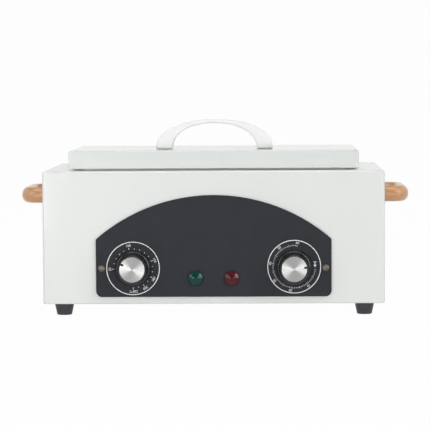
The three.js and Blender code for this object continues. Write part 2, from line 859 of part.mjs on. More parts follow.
// Terminal block on the base plate, with a well above each terminal
function terminalBlock() {
  const body = block(terminalWidth, terminalDepth, terminalHeight);
  const pitch = terminalWidth / terminalWells;
  const wells = Array.from({ length: terminalWells }, (_, i) => rodUp(
    terminalWellRadius, terminalWellDepth + cutOverrun, wireSides,
    (i - (terminalWells - 1) / 2) * pitch, 0, terminalHeight - terminalWellDepth,
  ));
  return cut(body, ...wells);
}

// Side handles: a round bar bent to a bow, its two legs square to the case side
function sideHandleLegs() {
  return [
    sideHandleInset + sideHandleHalfWidth,
    sideHandleInset + sideHandleSpan - sideHandleHalfWidth,
  ];
}

function sideHandle(side) {
  const wall = side * (caseWidth / 2 + seatGap);
  const bar = side * (caseWidth / 2 + sideHandleReach - sideHandleHalfWidth);
  const [front, rear] = sideHandleLegs();
  const corners = [
    point(wall, front, sideHandleLevel),
    point(bar, front, sideHandleLevel),
    point(bar, rear, sideHandleLevel),
    point(wall, rear, sideHandleLevel),
  ];
  const [high, wide] = [sideHandleHalfHeight, sideHandleHalfWidth];
  const bow = sweptRod(corners, [sideHandleBend], high, wide, barSides, point(0, 0, 1));
  const bite = sideScrewBite + screwHoleGap + cutOverrun;
  const holes = [front, rear].map((y) => rodAcross(
    screwRadius + screwHoleGap, bite, smallSides, wall + side * (bite / 2 - cutOverrun), y, sideHandleLevel,
  ));
  return cut(bow, ...holes);
}

// Side handle screw: head inside the case wall, shank out into the handle's leg
function sideHandleScrew(side) {
  const length = 2 * seatGap + sheet + sideScrewBite;
  return panScrew(screwRadius, screwHeadRadius, screwHeadHeight, length)
    .rotateZ(-side * Math.PI / 2)
    .translate(side * (caseWidth / 2 - sheet - seatGap), 0, 0);
}

// Mains inlet: flange outside the back, body through it, socket with a pair of cut corners
function socketOutline() {
  const [x, z] = [inletSocketWidth / 2, inletSocketHeight / 2];
  const outline = new THREE.Shape();
  outline.moveTo(-x, -z);
  outline.lineTo(x, -z);
  outline.lineTo(x, z - inletSocketChamfer);
  outline.lineTo(x - inletSocketChamfer, z);
  outline.lineTo(-x + inletSocketChamfer, z);
  outline.lineTo(-x, z - inletSocketChamfer);
  return outline;
}

function inletPins() {
  return [
    ['inlet_pin_line', -inletPinSpacing / 2, -inletEarthRise / 2],
    ['inlet_pin_neutral', inletPinSpacing / 2, -inletEarthRise / 2],
    ['inlet_pin_earth', 0, inletEarthRise],
  ];
}

const inletBack = seatGap + inletFlangeThickness;

function mainsInlet() {
  const flange = upright(
    roundedRectangle(inletFlangeWidth, inletFlangeHeight, inletCorner, 0, 0, slotSteps),
    inletFlangeThickness, inletBack,
  );
  const depth = inletBack + inletBodyDepth;
  const body = block(inletBodyWidth, depth, inletBodyHeight, 0, inletBack - depth / 2, -inletBodyHeight / 2);
  const socket = upright(socketOutline(), inletSocketDepth + cutOverrun, inletBack + cutOverrun);
  const cuts = [socket];
  for (const [, x, z] of inletPins()) {
    cuts.push(block(
      inletPinThickness + 2 * seatGap, inletBodyDepth, inletPinHeight + 2 * seatGap,
      x, inletBack - inletSocketDepth - inletBodyDepth / 2 + seatGap, z - inletPinHeight / 2 - seatGap,
    ));
  }
  for (const side of [-1, 1]) {
    const x = side * inletScrewSpacing / 2;
    const length = inletFlangeThickness + 2 * cutOverrun;
    cuts.push(rodBack(panelScrewRadius + screwHoleGap, length, smallSides, x, seatGap - cutOverrun, 0));
  }
  return cut(joined(flange, body), ...cuts);
}

function inletPin() {
  const front = inletBack - inletPinRecess;
  const back = -inletBodyDepth - inletPinTail;
  return block(
    inletPinThickness, front - back, inletPinHeight, 0, (front + back) / 2, -inletPinHeight / 2,
  );
}

function inletScrew() {
  const length = seatGap + inletFlangeThickness + seatGap + panelScrewLength;
  return panScrew(panelScrewRadius, panelScrewHeadRadius, screwHeadHeight, length)
    .rotateZ(Math.PI)
    .translate(0, inletBack + seatGap, 0);
}

// Hinge leaves about the X axis: each keeps its own knuckles and clears the other's
function hingeLeaf(plate, keepsMiddle) {
  const knuckle = rodAcross(knuckleRadius, hingeWidth, roundSides);
  const clearRadius = knuckleRadius + turnGap;
  const inner = (hingeMiddle - hingeEndGap) / 2;
  const outer = hingeWidth / 2 + cutOverrun;
  const clearances = keepsMiddle
    ? [-1, 1].map((side) => rodAcross(clearRadius, outer - inner, roundSides, side * (outer + inner) / 2))
    : [rodAcross(clearRadius, hingeMiddle + hingeEndGap, roundSides)];
  const bore = rodAcross(hingePinRadius + turnGap, hingeWidth + 2 * cutOverrun, smallSides);
  return cut(joined(knuckle, plate), ...clearances, bore);
}

function hingeCaseLeaf() {
  return hingeLeaf(
    block(hingeWidth, caseLeafReach, leafThickness, 0, caseLeafReach / 2, -knuckleRadius), false,
  );
}

function hingeLidLeaf() {
  return hingeLeaf(
    block(hingeWidth, leafThickness, lidLeafReach, 0, leafThickness / 2 - knuckleRadius, 0), true,
  );
}

function hingePin() {
  const shank = hingeWidth + 2 * seatGap;
  const crown = hingeHeadShare * hingeHeadRadius;
  const profile = [
    [0, -hingeHeadLength],
    [crown, -hingeHeadLength],
    [hingeHeadRadius, 0],
    [hingePinRadius, 0],
    [hingePinRadius, shank],
    [hingeHeadRadius, shank],
    [crown, shank + hingeHeadLength],
    [0, shank + hingeHeadLength],
  ];
  const pin = turnedUp(profile, smallSides).translate(0, 0, -shank / 2);
  return pin.rotateY(Math.PI / 2);
}

// Lid shell: folded cover with two screw holes under the handle
function lidShell() {
  const cover = foldedCover(lidWidth, lidDepth, lidHeight, lidBend, lidLip);
  const bottom = lidHeight - sheet - cutOverrun;
  const holes = lidHandlePlaces().map(([x, y]) => (
    rodUp(screwRadius + screwHoleGap, sheet + 2 * cutOverrun, smallSides, x, y, bottom)
  ));
  return cut(cover, ...holes);
}

// Lid liner: plate inside the lid with a pressed panel that drops into the chamber's mouth
function linerPanel(inset) {
  const gap = linerClearance + inset;
  return roundedRectangle(chamberWidth - 2 * gap, chamberLength - 2 * gap, chamberCorner - gap);
}

function lidLiner() {
  const inset = 2 * (sheet + seatGap);
  const plate = block(lidWidth - inset, lidDepth - inset, linerSheet, 0, 0, linerBottom);
  const pressed = raised(linerPanel(0), linerDrop + linerSheet, linerBottom - linerDrop);
  const hollow = raised(linerPanel(linerSheet), linerDrop + cutOverrun, linerTop - linerDrop);
  return cut(joined(plate, pressed), hollow);
}

// Lid insulation: a mat that fills the liner's pressed panel, under the heads of the handle's screws
function lidInsulation() {
  const inset = 2 * (sheet + 2 * seatGap);
  const bottom = linerTop + seatGap;
  const top = lidHeight - sheet - insulationHeadroom;
  const mat = block(lidWidth - inset, lidDepth - inset, top - bottom, 0, 0, bottom);
  return joined(mat, raised(linerPanel(linerSheet + seatGap), top - bottom + linerDrop, bottom - linerDrop));
}

// Lid seal: a ring under the liner that meets the tank's flange
function lidSeal() {
  const ring = (offset, Outline) => roundedRectangle(
    chamberWidth + 2 * (chamberWall + offset), chamberLength + 2 * (chamberWall + offset),
    chamberCorner + chamberWall + offset, 0, 0, cornerSteps, Outline,
  );
  const outline = ring(sealInset + sealWidth, THREE.Shape);
  outline.holes.push(ring(sealInset, THREE.Path));
  const bottom = flangeTop + seatGap - lidBottom;
  return raised(outline, linerBottom - seatGap - bottom, bottom);
}

// Lid handle: a crescent bow, thick at its feet and thin at its crown
function archPoint(halfWidth, rise, power, angle) {
  const across = Math.cos(angle);
  const x = Math.sign(across) * halfWidth * Math.abs(across) ** (2 / power);
  return [x, rise * Math.abs(Math.sin(angle)) ** (2 / power)];
}

function lidHandlePlaces() {
  const x = (lidHandleWidth - lidHandleLeg) / 2;
  const y = lidHandleInset + lidHandleDepth / 2 - lidDepth / 2;
  return [[-x, y], [x, y]];
}

function lidHandle() {
  const half = lidHandleWidth / 2;
  const root = -cutOverrun - lidHandleEdge;
  const outline = new THREE.Shape();
  outline.moveTo(half, root);
  for (let i = 0; i <= archSteps; i++) {
    outline.lineTo(...archPoint(half, lidHandleRise, lidHandleOuterPower, Math.PI * i / archSteps));
  }
  outline.lineTo(-half, root);
  outline.lineTo(-half + lidHandleLeg, root);
  for (let i = archSteps; i >= 0; i--) {
    outline.lineTo(...archPoint(
      half - lidHandleLeg, lidHandleRise - lidHandleCrown, lidHandleInnerPower, Math.PI * i / archSteps,
    ));
  }
  outline.lineTo(half - lidHandleLeg, root);
  const bow = new THREE.ExtrudeGeometry(outline, {
    depth: lidHandleDepth - 2 * lidHandleEdge,
    bevelThickness: lidHandleEdge,
    bevelSize: lidHandleEdge,
    bevelOffset: -lidHandleEdge,
    bevelSegments: bendSegments,
  });
  const [[, y]] = lidHandlePlaces();
  const bottom = lidHeight + seatGap;
  bow.applyMatrix4(uprightBasis).translate(0, y + lidHandleDepth / 2 - lidHandleEdge, bottom);
  const trim = block(lidHandleWidth + cutOverrun, 2 * lidHandleDepth, -2 * root, 0, y, bottom + 2 * root);
  const bite = screwBite + screwHoleGap + cutOverrun;
  const holes = lidHandlePlaces().map(([x]) => (
    rodUp(screwRadius + screwHoleGap, bite, smallSides, x, y, bottom - cutOverrun)
  ));
  return cut(bow, trim, ...holes);
}

// Lid handle screw: head under the lid's top sheet, shank up into the handle's foot
function lidHandleScrew() {
  const length = 2 * seatGap + sheet + screwBite;
  return panScrew(screwRadius, screwHeadRadius, screwHeadHeight, length)
    .rotateX(Math.PI / 2)
    .translate(0, 0, lidHeight - sheet - seatGap);
}

// Instrument tray: perforated pan with a rim turned outwards
function instrumentTray() {
  const bodyWidth = trayWidth - 2 * trayRim;
  const bodyLength = trayLength - 2 * trayRim;
  const corner = chamberCorner - trayClearance;
  const outline = roundedRectangle(bodyWidth, bodyLength, corner - trayRim);
  const hollow = roundedRectangle(
    bodyWidth - 2 * traySheet, bodyLength - 2 * traySheet, corner - trayRim - traySheet,
  );
  const pan = cut(raised(outline, trayHeight), raised(hollow, trayHeight, traySheet));
  const rim = roundedRectangle(trayWidth, trayLength, corner);
  const [mouthWidth, mouthLength] = [bodyWidth - traySheet, bodyLength - traySheet];
  rim.holes.push(roundedRectangle(mouthWidth, mouthLength, corner - trayRim, 0, 0, cornerSteps, THREE.Path));
  const holes = [];
  for (let column = 0; column < trayHoleColumns; column++) {
    for (let row = 0; row < trayHoleRows; row++) {
      const x = (column - (trayHoleColumns - 1) / 2) * trayHolePitchX;
      const y = (row - (trayHoleRows - 1) / 2) * trayHolePitchY;
      holes.push(rodUp(trayHoleRadius, traySheet + 2 * cutOverrun, wireSides, x, y, -cutOverrun));
    }
  }
  return cut(joined(pan, raised(rim, traySheet, trayHeight - traySheet)), ...holes);
}

// Tray handle: a wire bow that stands above the rim, tucked inside the tray's end wall
function trayHandle(side) {
  const x = side * (trayWidth / 2 - trayRim - traySheet - seatGap - trayWireRadius);
  const low = trayHeight - trayBowTuck;
  const high = trayHeight + trayBowRise - trayWireRadius;
  const half = trayBowSpan / 2 - trayWireRadius;
  const corners = [point(x, -half, low), point(x, -half, high), point(x, half, high), point(x, half, low)];
  return sweptRod(corners, [trayBowBend], trayWireRadius, trayWireRadius, wireSides);
}

// Assembly: one group for each body, placed as the bodies stand with the lid closed
const sterilizer = new THREE.Group();
const housing = new THREE.Group();
const chamber = new THREE.Group();
const lid = new THREE.Group();
const tray = new THREE.Group();
housing.position.set(0, caseFrontY, 0);
chamber.position.set(0, lidCentreY, 0);
lid.position.set(0, lidCentreY, lidBottom);
tray.position.set(0, lidCentreY, trayBottom);
sterilizer.add(housing);
housing.add(chamber, lid, tray);

function place(parent, name, geometry, material, x = 0, y = 0, z = 0) {
  const mesh = new THREE.Mesh(closedBody(geometry), material());
  mesh.name = name;
  mesh.position.set(x, y, z);
  parent.add(mesh);
}

place(housing, 'case_shell', caseShell(), paintedSteel);
place(housing, 'base_plate', basePlate(), zincSteel);
['front_left', 'front_right', 'rear_left', 'rear_right'].forEach((corner, i) => {
  const [x, y] = footPlaces()[i];
  place(housing, `foot_${corner}`, foot(), blackRubber, x, y);
  place(housing, `foot_screw_${corner}`, footScrew(), zincSteel, x, y);
});

place(chamber, 'chamber_tank', chamberTank(), stainless);
place(chamber, 'heating_element', heatingElement(), sheathSteel);
place(chamber, 'insulation_wrap', insulationWrap(), mineralWool);
place(chamber, 'thermostat_bulb', thermostatBulb(), copper);
place(chamber, 'thermostat_capillary', thermostatCapillary(), copper);
place(chamber, 'thermal_cutout', thermalCutout(), blackPlastic);

place(housing, 'control_panel', controlPanel(), charcoal);
place(housing, 'thermostat_body', controlBody(thermostatWidth, thermostatDepth, -knobX), paleCeramic);
place(housing, 'timer_body', timerBody(), zincSteel);
place(
  housing, 'terminal_block', terminalBlock(), paleCeramic,
  0, caseDepth - terminalInset, basePlateTop + seatGap,
);

[['left', -1], ['right', 1]].forEach(([name, side]) => {
  const panelScrew = panScrew(
    panelScrewRadius, panelScrewHeadRadius, panelScrewHeadHeight, panelFront + panelScrewLength,
  );
  place(
    housing, `panel_screw_${name}`, panelScrew, nickelBrass,
    side * panelScrewX, -panelFront - seatGap, controlLevel,
  );
  place(housing, `side_handle_${name}`, sideHandle(side), tanHandle);
  sideHandleLegs().forEach((y, i) => {
    const screwName = `side_handle_screw_${name}_${['front', 'rear'][i]}`;
    place(housing, screwName, sideHandleScrew(side), zincSteel, 0, y, sideHandleLevel);
  });
  place(housing, `hinge_case_leaf_${name}`, hingeCaseLeaf(), stainless, side * hingeX, hingeY, hingeZ);
  place(housing, `hinge_pin_${name}`, hingePin(), zincSteel, side * hingeX, hingeY, hingeZ);
  place(
    lid, `hinge_lid_leaf_${name}`, hingeLidLeaf(), stainless,
    side * hingeX, hingeY - lidCentreY, hingeZ - lidBottom,
  );
  place(
    housing, `inlet_screw_${name}`, inletScrew(), zincSteel,
    inletX + side * inletScrewSpacing / 2, caseDepth, inletHeight,
  );
});

[['green', -1, greenLens], ['red', 1, redLens]].forEach(([name, side, lens]) => {
  const x = side * lampSpacing / 2;
  place(housing, `${name}_lamp_lens`, lampLens(), lens, x, -panelFront - seatGap, lampLevel);
  place(housing, `${name}_lamp_body`, lampBody(), paleCeramic, x, 0, lampLevel);
});

place(housing, 'mains_inlet', mainsInlet(), blackPlastic, inletX, caseDepth, inletHeight);
for (const [name, x, z] of inletPins()) {
  place(housing, name, inletPin(), nickelBrass, inletX + x, caseDepth, inletHeight + z);
}

const dials = [['temperature', -1, temperatureNotchDegrees], ['timer', 1, timerNotchDegrees]];
dials.forEach(([name, side, notch]) => {
  const dial = new THREE.Group();
  dial.position.set(side * knobX, -knobBack, controlLevel);
  housing.add(dial);
  place(dial, `${name}_shaft`, knobShaft(), zincSteel);
  place(dial, `${name}_knob`, knob(), blackPlastic);
  place(dial, `${name}_knob_cap`, knobCap(notch), spunAluminium);
});

place(lid, 'lid_shell', lidShell(), paintedSteel);
place(lid, 'lid_liner', lidLiner(), stainless);
place(lid, 'lid_insulation', lidInsulation(), mineralWool);
place(lid, 'lid_seal', lidSeal(), darkSilicone);
place(lid, 'lid_handle', lidHandle(), whitePlastic);
lidHandlePlaces().forEach(([x, y], i) => {
  place(lid, `lid_handle_screw_${['left', 'right'][i]}`, lidHandleScrew(), zincSteel, x, y);
});

place(tray, 'instrument_tray', instrumentTray(), stainless);
place(tray, 'tray_handle_left', trayHandle(-1), stainless);
place(tray, 'tray_handle_right', trayHandle(1), stainless);

export default sterilizer;
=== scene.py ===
"""Dry heat sterilizer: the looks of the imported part, built piece by piece round its frame."""
import json
import logging
import math
from dataclasses import dataclass, replace
from enum import Enum
from typing import Callable, Iterable, Sequence

import bpy
from mathutils import Matrix, Vector


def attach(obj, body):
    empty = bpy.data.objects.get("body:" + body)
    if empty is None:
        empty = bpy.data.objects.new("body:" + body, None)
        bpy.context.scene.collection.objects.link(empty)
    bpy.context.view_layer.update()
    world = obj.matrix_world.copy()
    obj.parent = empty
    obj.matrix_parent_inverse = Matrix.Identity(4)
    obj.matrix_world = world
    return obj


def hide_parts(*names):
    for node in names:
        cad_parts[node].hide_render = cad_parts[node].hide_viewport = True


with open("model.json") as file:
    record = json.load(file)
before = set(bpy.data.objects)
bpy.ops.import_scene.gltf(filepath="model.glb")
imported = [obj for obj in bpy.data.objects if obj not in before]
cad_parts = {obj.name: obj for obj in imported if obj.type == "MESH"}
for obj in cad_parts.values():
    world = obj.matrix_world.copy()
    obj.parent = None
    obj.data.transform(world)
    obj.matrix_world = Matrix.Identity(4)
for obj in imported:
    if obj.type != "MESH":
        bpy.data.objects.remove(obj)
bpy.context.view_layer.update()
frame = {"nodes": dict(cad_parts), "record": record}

logging.basicConfig(level=logging.INFO, format="%(message)s")
log = logging.getLogger("sterilizer")

MM = 0.001
SMOOTH_ANGLE = math.radians(32)
# How far in millimetres a cutter reaches past the surface that it goes through.
OVERRUN = 4.0
THROUGH = (-OVERRUN, OVERRUN)
# Distance in millimetres within which two places count as level with each other.
HAIR = 0.01
# Distance in millimetres within which two vertices are merged.
WELD = 0.0005
# Radians that the ring pattern's phase turns in one unit of its scaled space.
RING_PHASE = 20.0
SIDES = (("left", -1), ("right", 1))
Piece = bpy.types.Object
Socket = bpy.types.NodeSocket
Point2 = tuple[float, float]
Point3 = tuple[float, float, float]


@dataclass(frozen=True)
class Layout:
    """Places in millimetres that several sub-assemblies share."""

    dial_x: float = 80.0
    dial_z: float = 47.9
    lamp_x: float = 18.0
    lamp_z: float = 37.8
    panel_screw_x: float = 111.4
    panel_front: float = -94.0
    inlet_x: float = 100.0
    inlet_z: float = 40.0
    inlet_screw_x: float = 20.0
    middle_y: float = 3.9


LAYOUT = Layout()


class Body(Enum):
    """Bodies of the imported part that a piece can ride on."""

    HOUSING = "housing"
    LID = "lid"
    TRAY = "tray"
    TEMPERATURE = "temperature_knob"
    TIMER = "timer_knob"


class Slot(Enum):
    """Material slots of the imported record."""

    PAINTED_STEEL = "painted_steel"
    WHITE_PLASTIC = "white_plastic"
    CHARCOAL_PANEL = "charcoal_panel"
    BLACK_PLASTIC = "black_plastic"
    BLACK_RUBBER = "black_rubber"
    SPUN_ALUMINIUM = "spun_aluminium"
    STAINLESS = "stainless"
    ZINC_STEEL = "zinc_steel"
    NICKEL_BRASS = "nickel_brass"
    TAN_HANDLE = "tan_handle"
    GREEN_LENS = "green_lens"
    RED_LENS = "red_lens"
    DARK_SILICONE = "dark_silicone"
    MINERAL_WOOL = "mineral_wool"
    SHEATH_STEEL = "sheath_steel"
    COPPER = "copper"
    PALE_CERAMIC = "pale_ceramic"


class Grain(Enum):
    """Fine texture of a surface, as the stretch of its noise along X, Y and Z."""

    EVEN = (1.0, 1.0, 1.0)
    BRUSHED = (0.02, 1.0, 1.0)
    FIBRES = (0.25, 0.6, 1.0)


class Axis(Enum):
    """Axis of a turned piece: the way it runs, and where its profile starts."""

    UP = ((0.0, 0.0, 1.0), (1.0, 0.0, 0.0))
    FORWARD = ((0.0, -1.0, 0.0), (1.0, 0.0, 0.0))
    BACKWARD = ((0.0, 1.0, 0.0), (1.0, 0.0, 0.0))
    ACROSS = ((1.0, 0.0, 0.0), (0.0, 0.0, 1.0))

    @property
    def along(self) -> Vector:
        """Direction of the axis."""
        return Vector(self.value[0])

    @property
    def out(self) -> Vector:
        """Direction of the profile from the axis."""
        return Vector(self.value[1])


def linear(code: str) -> list[float]:
    """Turn a colour of six hexadecimal digits, as it shows on a screen, into linear values."""
    shown = [int(code[i:i + 2], 16) / 255 for i in (0, 2, 4)]
    return [v / 12.92 if v <= 0.04045 else ((v + 0.055) / 1.055) ** 2.4 for v in shown]


class NodeSheet:
    """Nodes of a material or a world, added one by one."""

    def __init__(self, owner: bpy.types.Material | bpy.types.World) -> None:
        """Clear the owner's nodes and keep its tree.

        Args:
            owner: the material or world that the nodes are for.
        """
        owner.use_nodes = True
        self.tree = owner.node_tree
        self.tree.nodes.clear()

    def add(self, kind: str, inputs: dict[str | int, object] | None = None,
            **settings: object) -> bpy.types.Node:
        """Add a node.

        Args:
            kind: the node's type, without its common prefix.
            inputs: a value, or a socket to link, for inputs by name or number.
            settings: properties of the node by name.

        Returns:
            The new node.
        """
        node = self.tree.nodes.new("ShaderNode" + kind)
        for name, value in settings.items():
            setattr(node, name, value)
        for place, value in (inputs or {}).items():
            if isinstance(value, Socket):
                self.tree.links.new(value, node.inputs[place])
            else:
                node.inputs[place].default_value = value
        return node

    def noise(self, place: Socket, size: float, detail: float) -> Socket:
        """Add a noise with features of a size in millimetres, and a number of finer layers."""
        inputs = {"Vector": place, "Scale": 1 / (size * MM), "Detail": detail}
        return self.add("TexNoise", inputs).outputs["Fac"]

    def span(self, value: Socket, low: float, high: float, start: float = 0.3, end: float = 0.7) -> Socket:
        """Map a value that runs from start to end to the range from low to high."""
        inputs = {"Value": value, "From Min": start, "From Max": end, "To Min": low, "To Max": high}
        return self.add("MapRange", inputs).outputs["Result"]

    def blend(self, factor: Socket, first: object, second: object) -> Socket:
        """Mix two colours by a factor; each is a colour or a socket."""
        return self.add("Mix", {0: factor, 6: first, 7: second}, data_type="RGBA").outputs[2]


@dataclass(frozen=True)
class Finish:
    """Surface finish of one of the sterilizer's materials; lengths are in millimetres."""

    name: str
    slot: Slot
    colour: str
    roughness: float
    metallic: float = 0.0
    grain: Grain = Grain.EVEN
    grain_size: float = 1.0
    grain_depth: float = 0.01
    mottle: float = 0.05
    mottle_size: float = 30.0
    rough_spread: float = 0.05
    # Edge band: its strength, width, lift and span. It is wear on most finishes, a painted highlight on the
    # case and painted shade on the lid and the panel.
    wear_and_painted_light: float = 0.25
    wear_and_painted_light_width: float = 0.5
    wear_and_painted_light_lift: float = 0.25
    wear_and_painted_light_span: Point2 = (0.8, 0.985)
    coat: float = 0.0
    coat_roughness: float = 0.1
    sheen: float = 0.0
    specular: float = 0.5
    anisotropic: float = 0.0
    centre: Point3 | None = None
    ring_pitch: float = 0.35

    def shade(self, factor: float) -> tuple[float, ...]:
        """The colour made lighter or darker by a factor, with an alpha of one."""
        return (*(min(value * factor, 1.0) for value in linear(self.colour)), 1.0)

    def material(self) -> bpy.types.Material:
        """Build the finish's material, or give it back if it exists.

        Returns:
            The Blender material.
        """
        known = bpy.data.materials.get(self.name)
        if known:
            return known
        material = bpy.data.materials.new(self.name)
        sheet = NodeSheet(material)
        place = sheet.add("TexCoord").outputs["Object"]
        low = max(self.roughness - self.rough_spread, 0.02)
        high = min(self.roughness + self.rough_spread, 1.0)
        inputs = {
            "Base Color": self.tint(sheet, place), "Normal": self.relief(sheet, place),
            "Roughness": sheet.span(sheet.noise(place, self.mottle_size / 5, 4.0), low, high),
            "Metallic": self.metallic, "Coat Weight": self.coat, "Coat Roughness": self.coat_roughness,
            "Sheen Weight": self.sheen, "Specular IOR Level": self.specular,
            "Anisotropic": self.anisotropic}
        if self.centre:
            inputs["Anisotropic Rotation"] = 0.25
            inputs["Tangent"] = sheet.add("Tangent", direction_type="RADIAL", axis="Y").outputs["Tangent"]
        shader = sheet.add("BsdfPrincipled", inputs)
        sheet.add("OutputMaterial", {"Surface": shader.outputs["BSDF"]})
        return material

    def tint(self, sheet: NodeSheet, place: Socket) -> Socket:
        """Mottle the colour, and lighten or darken it in a band along the edges: wear on most finishes,
        painted highlight on the case's bends and painted shade on the lid's and the panel's edges.

        Args:
            sheet: the material's nodes.
            place: coordinates on the piece.

        Returns:
            The colour.
        """
        broad = sheet.span(sheet.noise(place, self.mottle_size, 3.0), 0.0, 1.0)
        colour = sheet.blend(broad, self.shade(1 - self.mottle), self.shade(1 + self.mottle))
        # Band along the edges, lighter or darker by the lift: wear on most finishes, painted highlight
        # along the case's bends, painted shade along the lid's and the panel's edges.
        rounded = sheet.add("Bevel", {"Radius": self.wear_and_painted_light_width * MM}, samples=4).outputs["Normal"]
        plain = sheet.add("NewGeometry").outputs["Normal"]
        likeness = sheet.add("VectorMath", {0: rounded, 1: plain}, operation="DOT_PRODUCT").outputs["Value"]
        edge = sheet.span(likeness, self.wear_and_painted_light, 0.0, *self.wear_and_painted_light_span)
        return sheet.blend(edge, colour, self.shade(1 + self.wear_and_painted_light_lift))

    def relief(self, sheet: NodeSheet, place: Socket) -> Socket:
        """Raise a fine relief: even or brushed noise, or rings about a centre.

        Args:
            sheet: the material's nodes.
            place: coordinates on the piece.

        Returns:
            The normal.
        """
        if self.centre is None:
            spread = sheet.add("Mapping", {"Vector": place, "Scale": self.grain.value}).outputs["Vector"]
            height = sheet.noise(spread, self.grain_size, 4.0)
        else:
            shift = [-v * MM for v in self.centre]
            spread = sheet.add("Mapping", {"Vector": place, "Location": shift}).outputs["Vector"]
            scale = 2 * math.pi / RING_PHASE / (self.ring_pitch * MM)
            inputs = {"Vector": spread, "Scale": scale, "Distortion": 0.6, "Detail": 2.0}
            height = sheet.add("TexWave", inputs, wave_type="RINGS", rings_direction="Y").outputs["Fac"]
        return sheet.add("Bump", {"Height": height, "Distance": self.grain_depth * MM}).outputs["Normal"]


# The case coat is lighter in a band along its bends: a painted highlight.
POWDER_COAT_PAINTED_HIGHLIGHT = Finish(
    "white_powder_coat_painted_highlight", Slot.PAINTED_STEEL, "E6E9E6", 0.4, grain_size=0.9, grain_depth=0.006,
    mottle=0.012, mottle_size=60.0, wear_and_painted_light=0.85, wear_and_painted_light_width=2.0, wear_and_painted_light_lift=0.22, coat=0.6)
# The lid coat is darker in a band along its edges: painted shade.
LID_COAT_PAINTED_SHADE = replace(
    POWDER_COAT_PAINTED_HIGHLIGHT, name="white_lid_coat_painted_shade", colour="DFE3E0", grain_depth=0.002, coat=0.75, wear_and_painted_light=0.5,
    wear_and_painted_light_width=1.2, wear_and_painted_light_lift=-0.1)
HANDLE_WHITE = Finish(
    "white_moulding", Slot.WHITE_PLASTIC, "F8F9F8", 0.38, grain_size=0.6, grain_depth=0.004,
    mottle=0.01, wear_and_painted_light=0.1, wear_and_painted_light_lift=0.05)
# The charcoal plate is much darker in a band round its rim: painted shade.
CHARCOAL_PAINTED_SHADE = Finish(
    "charcoal_plate_painted_shade", Slot.CHARCOAL_PANEL, "2B2E33", 0.62, grain_size=0.25, grain_depth=0.012,
    mottle_size=18.0, wear_and_painted_light=0.8, wear_and_painted_light_width=0.6, wear_and_painted_light_lift=-0.8, specular=0.25)
DIAL_PRINT = Finish(
    "white_print", Slot.WHITE_PLASTIC, "F6F8F9", 0.55, grain_size=0.2, grain_depth=0.004,
    mottle=0.08, mottle_size=3.0, wear_and_painted_light=0.1, wear_and_painted_light_width=0.1)
BLACK_MOULDING = Finish(
    "black_moulding", Slot.BLACK_PLASTIC, "121415", 0.28, grain_size=0.3, grain_depth=0.006,
    mottle=0.12, mottle_size=9.0, wear_and_painted_light=0.2, wear_and_painted_light_width=0.2, wear_and_painted_light_lift=0.4)
RUBBER = Finish(
    "foot_rubber", Slot.BLACK_RUBBER, "31353A", 0.5, grain_size=0.35, grain_depth=0.02,
    mottle=0.12, mottle_size=6.0, wear_and_painted_light=0.4, wear_and_painted_light_lift=0.4)
STAINLESS = Finish(
    "brushed_stainless", Slot.STAINLESS, "C6C8C9", 0.37, metallic=1.0, grain=Grain.BRUSHED,
    grain_size=0.5, grain_depth=0.004, mottle=0.03, mottle_size=60.0, rough_spread=0.03,
    wear_and_painted_light=0.35, wear_and_painted_light_lift=0.2)
# Drawn stainless, paler than the brushed stainless: partly painted light that lightens the shaded gap under
# the lid.
DRAWN_STEEL_PAINTED_LIGHT = replace(STAINLESS, name="drawn_stainless_painted_light", colour="D4D6D7", roughness=0.5)
SPUN = Finish(
    "spun_plain", Slot.SPUN_ALUMINIUM, "C0C0BF", 0.41, metallic=1.0, grain_depth=0.002, mottle=0.03,
    mottle_size=6.0, rough_spread=0.02, wear_and_painted_light=0.2, wear_and_painted_light_width=0.15, anisotropic=0.9,
    centre=(0.0, -113.7, 47.9))
ZINC = Finish(
    "zinc_plate", Slot.ZINC_STEEL, "B4B2AA", 0.42, metallic=1.0, grain_size=2.0, mottle=0.1,
    mottle_size=7.0, wear_and_painted_light=0.3, wear_and_painted_light_lift=0.2)
NICKEL_BRASS = Finish(
    "aged_nickel", Slot.NICKEL_BRASS, "857D72", 0.3, metallic=1.0, grain_size=0.6, grain_depth=0.006,
    mottle=0.14, mottle_size=2.0, wear_and_painted_light=0.4, wear_and_painted_light_width=0.2, wear_and_painted_light_lift=0.3)
TAN = Finish(
    "tan_moulding", Slot.TAN_HANDLE, "D19966", 0.42, grain=Grain.FIBRES, grain_size=1.2,
    grain_depth=0.008, mottle=0.06, mottle_size=12.0, wear_and_painted_light=0.2, wear_and_painted_light_lift=0.12, coat=1.0,
    coat_roughness=0.28)
GREEN_LENS = Finish(
    "green_lamp_cap", Slot.GREEN_LENS, "003B36", 0.13, grain_size=1.1, grain_depth=0.012, mottle=0.2,
    mottle_size=2.6, wear_and_painted_light=0.0, specular=0.26)
RED_LENS = replace(GREEN_LENS, name="red_lamp_cap", slot=Slot.RED_LENS, colour="4E1218")
